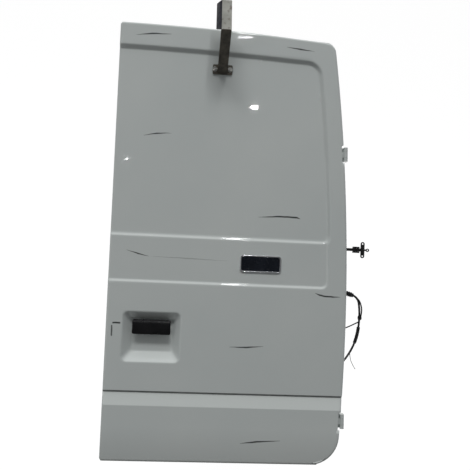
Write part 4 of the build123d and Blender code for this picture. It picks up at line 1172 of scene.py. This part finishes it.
# %% Wear and painted shade on the arm
rust_scale = 55.0
rust_detail = 8.0
rust_colour = (0.14, 0.115, 0.09)
# Painted shade: the left-facing flank of the upper tube is mixed towards this near black.
flank_shade_colour = (0.006, 0.007, 0.016)

arm = finish_of_slot["arm_grey"]
arm_facing = add_node(arm["tree"], "TexCoord").outputs["Normal"]
shaded_flank = stretched(arm["tree"], axis_of(arm["tree"], arm_facing, "X"), -0.25, -0.45)
rust = stretched(arm["tree"], noise(arm["tree"], arm["where"], rust_scale, rust_detail), 0.56, 0.74)
worn = mixed(arm["tree"], rust, arm["colour"], rust_colour)
dress(arm, {"Base Color": mixed(arm["tree"], shaded_flank, worn, flank_shade_colour)})

for subpart in frame["record"]["subparts"]:
    node = frame["nodes"][subpart["node"]]
    node.data.materials.clear()
    node.data.materials.append(finish_of_slot[subpart["material_slot"]]["material"])

# %% [markdown]
# ## Broken edges
# Fresh CAD solids have knife edges, and an edge without a bend catches no light. Real brackets and levers
# have their edges broken. A softened copy of a solid, with its flat triangles joined and its sharp edges
# bevelled, stands in for the solid and keeps its size.

# %% Broken edges
flat_angle = math.radians(1)
sharp_angle = math.radians(40)


def softened(node, width, slot, segments=3, reshape=None):
    work = bmesh.new()
    work.from_mesh(frame["nodes"][node].data)
    bmesh.ops.remove_doubles(work, verts=work.verts, dist=2e-6)
    bmesh.ops.dissolve_limit(work, angle_limit=flat_angle, verts=work.verts, edges=work.edges)
    if reshape:
        reshape(work)
    work.verts.index_update()
    corners = [vertex.co.copy() for vertex in work.verts]
    sides = [[vertex.index for vertex in face.verts] for face in work.faces]
    work.free()
    mesh = smooth_mesh(node + "_soft", corners, sides)
    mesh.set_sharp_from_angle(angle=sharp_angle)
    piece = add_piece(node + "_soft", mesh, slot, [node], frame["nodes"][node]["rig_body"])
    bevel = piece.modifiers.new("broken_edges", "BEVEL")
    bevel.width = width
    bevel.segments = segments
    bevel.limit_method = "ANGLE"
    bevel.angle_limit = sharp_angle
    bevel.harden_normals = False
    return piece


print("edges under", round(math.degrees(sharp_angle)), "degrees stay as they are")

# %% [markdown]
# ## The handle
# The lever's grip is crowned, as a hand expects: its flat front is cut into strips, and the strips fall back
# above and below the crest. Above it they follow a round brow, and below it they fall more and more.

# %% The handle
lever_low, lever_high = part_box("handle_lever")
lever_crest = lever_high.z - 0.0165
lever_strips = 36
grip_thickness = 0.009
brow_radius = 0.020
chin_fall = 0.0035


def crown_lever(work):
    for height in np.linspace(lever_low.z, lever_high.z, lever_strips + 1)[1:-1]:
        everything = work.verts[:] + work.edges[:] + work.faces[:]
        bmesh.ops.bisect_plane(work, geom=everything, plane_co=(0, 0, height), plane_no=(0, 0, 1))
    for vertex in work.verts:
        brow = max(0.0, vertex.co.z - lever_crest)
        chin = max(0.0, lever_crest - vertex.co.z) / (lever_crest - lever_low.z)
        fall = brow_radius - math.sqrt(brow_radius**2 - brow**2) + chin_fall * chin**2
        vertex.co.y += fall * max(0.0, 1 - (vertex.co.y - lever_low.y) / grip_thickness)


softened("handle_lever", 0.0012, "black_plastic", reshape=crown_lever)
softened("handle_carrier", 0.0005, "black_plastic")
print("lever crowned in", lever_strips, "strips")

# %% [markdown]
# ## Softened fittings
# The arm, the door check and the rim of the plate get the same treatment, each with the width of bend that
# the real piece has: a rolled tube is rounder than a punched bracket.

# %% Softened fittings
softened("support_arm_upper", 0.0025, "arm_grey")
softened("support_foot", 0.001, "arm_dark")
softened("support_arm_lower", 0.0025, "arm_dark")
softened("check_bracket", 0.0008, "check_black")
softened("check_strap", 0.0008, "check_black")
softened("badge_rim", 0.0016, "badge_chrome", segments=4)

# %% [markdown]
# ## Turned fittings
# Bolt flanges and lining buttons are round, as if turned on a lathe. A profile of radius and height, carried
# round an axis, gives each of them, and one mesh holds all that are alike. The buttons are push-in clips:
# a low dome with a dimple. The board's face is set back by their height, so that nothing stands out further
# than the CAD model does.

# %% A lathe
turned_sharp_angle = math.radians(35)


def add_turned(name, profile, spots, axis, sides, slot):
    axis = Vector(axis).normalized()
    side = axis.orthogonal().normalized()
    cross = axis.cross(side)
    angles = [2 * math.pi * corner / sides for corner in range(sides)]
    spokes = [side * math.cos(angle) + cross * math.sin(angle) for angle in angles]
    points, faces = [], []
    for spot in spots:
        faces += ring_faces(len(points), len(profile), sides)
        for radius, height in profile:
            points += [spot + axis * height + spoke * radius for spoke in spokes]
    mesh = smooth_mesh(name, points, faces)
    mesh.set_sharp_from_angle(angle=turned_sharp_angle)
    add_piece(name, mesh, slot)
    print(name, "has", len(spots), "turned pieces")


# %% The lining board and its buttons
button_height = 0.001
button_column = 0.088
button_edge_gap = 0.104
button_middle = 0.405
button_rows = (0.112, 0.306, 0.521, 0.715)
button = [
    (0.009, -0.0003),
    (0.009, 0.0002),
    (0.0083, 0.0007),
    (0.0062, 0.00098),
    (0.0028, 0.00098),
    (0.0022, 0.0006),
    (0.0006, 0.0005),
]

board = softened("trim_panel", 0.0008, "trim_board", segments=2)
board_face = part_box("trim_panel")[1].y - button_height
for vertex in board.data.vertices:
    vertex.co.y = min(vertex.co.y, board_face)
button_places = [(button_column, v) for v in button_rows]
button_places += [(float(edge_at(v)) - button_edge_gap, v) for v in button_rows]
button_places += [(button_middle, v) for v in (button_rows[0], button_rows[-1])]
button_spots = [place(u, v, board_face - skin_low.y) for u, v in button_places]
add_turned("lining_buttons", button, button_spots, (0, 1, 0), 28, "black_plastic")

# %% Bolt flanges
flange = [(0.0088, -0.0004), (0.0088, 0.0006), (0.008, 0.0012), (0.0064, 0.0016), (0.002, 0.0016)]

bolt_points = [vertex.co for vertex in frame["nodes"]["support_bolts"].data.vertices]
bolt_low, bolt_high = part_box("support_bolts")
bolt_middle = (bolt_low + bolt_high) / 2
foot_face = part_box("support_foot")[0].y
flange_spots = []
for side in (-1, 1):
    reach = [point.x for point in bolt_points if (point.x - bolt_middle.x) * side > 0]
    flange_spots.append(Vector(((min(reach) + max(reach)) / 2, foot_face, bolt_middle.z)))
add_turned("bolt_flanges", flange, flange_spots, (0, -1, 0), 32, "zinc_steel")

# %% [markdown]
# ## Weld beads
# The arm is two lengths of tube, welded at the knee and to its foot. A weld bead is a row of overlapping
# drops, so it is a thin tube round the joint whose radius swells once per drop.

# %% Beads round a joint
drop_pitch = 0.0034
drop_swell = 0.14
bead_bend = 0.004
bend_steps = 6


def bead(radius):
    def radius_at(along, angle):
        drop = math.cos(2 * math.pi * along / drop_pitch)
        return radius * (1 - drop_swell + drop_swell * drop)

    return radius_at


def round_joint(corners, bend, step):
    line = []
    for before, corner, after in zip(corners[-1:] + corners[:-1], corners, corners[1:] + corners[:1]):
        enter = corner + (before - corner).normalized() * bend
        leave = corner + (after - corner).normalized() * bend
        for i in range(bend_steps + 1):
            t = i / bend_steps
            line.append(enter * (1 - t) ** 2 + corner * 2 * t * (1 - t) + leave * t**2)
        rest = after + (corner - after).normalized() * bend - leave
        count = max(2, round(rest.length / step))
        line += [leave + rest * i / count for i in range(1, count)]
    return line + line[:2]


def add_bead(name, corners, radius):
    line = round_joint(corners, bead_bend, drop_pitch / 4)
    add_piece(name, tube_mesh(name, line, bead(radius), 10), "arm_dark")
    print(name, "is", round(line_length(line), 4), "m long")


# %% The arm's two welds
foot_sink = 0.0006
knee_inset = 0.0021
on_edge = 1e-5

lower_arm = [vertex.co.copy() for vertex in frame["nodes"]["support_arm_lower"].data.vertices]
lower_low, lower_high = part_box("support_arm_lower")
left, right = lower_low.x, lower_high.x
on_foot = [point.z for point in lower_arm if point.y > lower_high.y - on_edge]
foot_low, foot_high = min(on_foot), max(on_foot)
foot_sides = [(left, foot_low), (right, foot_low), (right, foot_high), (left, foot_high)]
foot_corners = [Vector((x, lower_high.y - foot_sink, z)) for x, z in foot_sides]
add_bead("foot_weld", foot_corners, 0.0023)

knee_front = next(point for point in lower_arm if point.y < lower_low.y + on_edge)
knee_back = next(point for point in lower_arm if point.z > lower_high.z - on_edge)
across = ((knee_back - knee_front) * Vector((0, 1, 1))).normalized()
front, back = knee_front + across * knee_inset, knee_back - across * knee_inset
near, far = left + knee_inset, right - knee_inset
knee_sides = [(near, front), (far, front), (far, back), (near, back)]
knee_corners = [Vector((x, spot.y, spot.z)) for x, spot in knee_sides]
add_bead("knee_weld", knee_corners, 0.002)

# %% [markdown]
# ## Hem sealer
# The skin's edge is folded over the inner panel, and body makers lay a bead of sealer along the hem before
# the door is painted. It follows the hem's edge all the way round, so it uses the same rim as the fold. Laid
# by hand, it is a little thicker here and thinner there.

# %% Hem sealer
sealer_radius = 0.0016
sealer_sink = 0.0006
sealer_unevenness = 0.1
quick_wave, slow_wave = 210.0, 67.0

hem_line = [rim_place(index, bend - hem, edge_depth - sealer_sink) for index, bend in enumerate(bends)]
hem_line += hem_line[:2]


def hand_laid(along, angle):
    wave = math.sin(along * quick_wave) * math.sin(along * slow_wave)
    return sealer_radius * (1 - sealer_unevenness + sealer_unevenness * wave)


add_piece("hem_sealer", tube_mesh("hem_sealer", hem_line, hand_laid, 8), "body_paint")
print("sealer is", round(line_length(hem_line), 3), "m long")

# %% [markdown]
# ## The CAD box
# The box of the CAD model is printed.
# The box of the dressed door is written beside the box of the CAD model, so that the two can be compared.

# %% The CAD box
print("CAD box", [round(x, 4) for x in (*cad_low, *cad_high)])
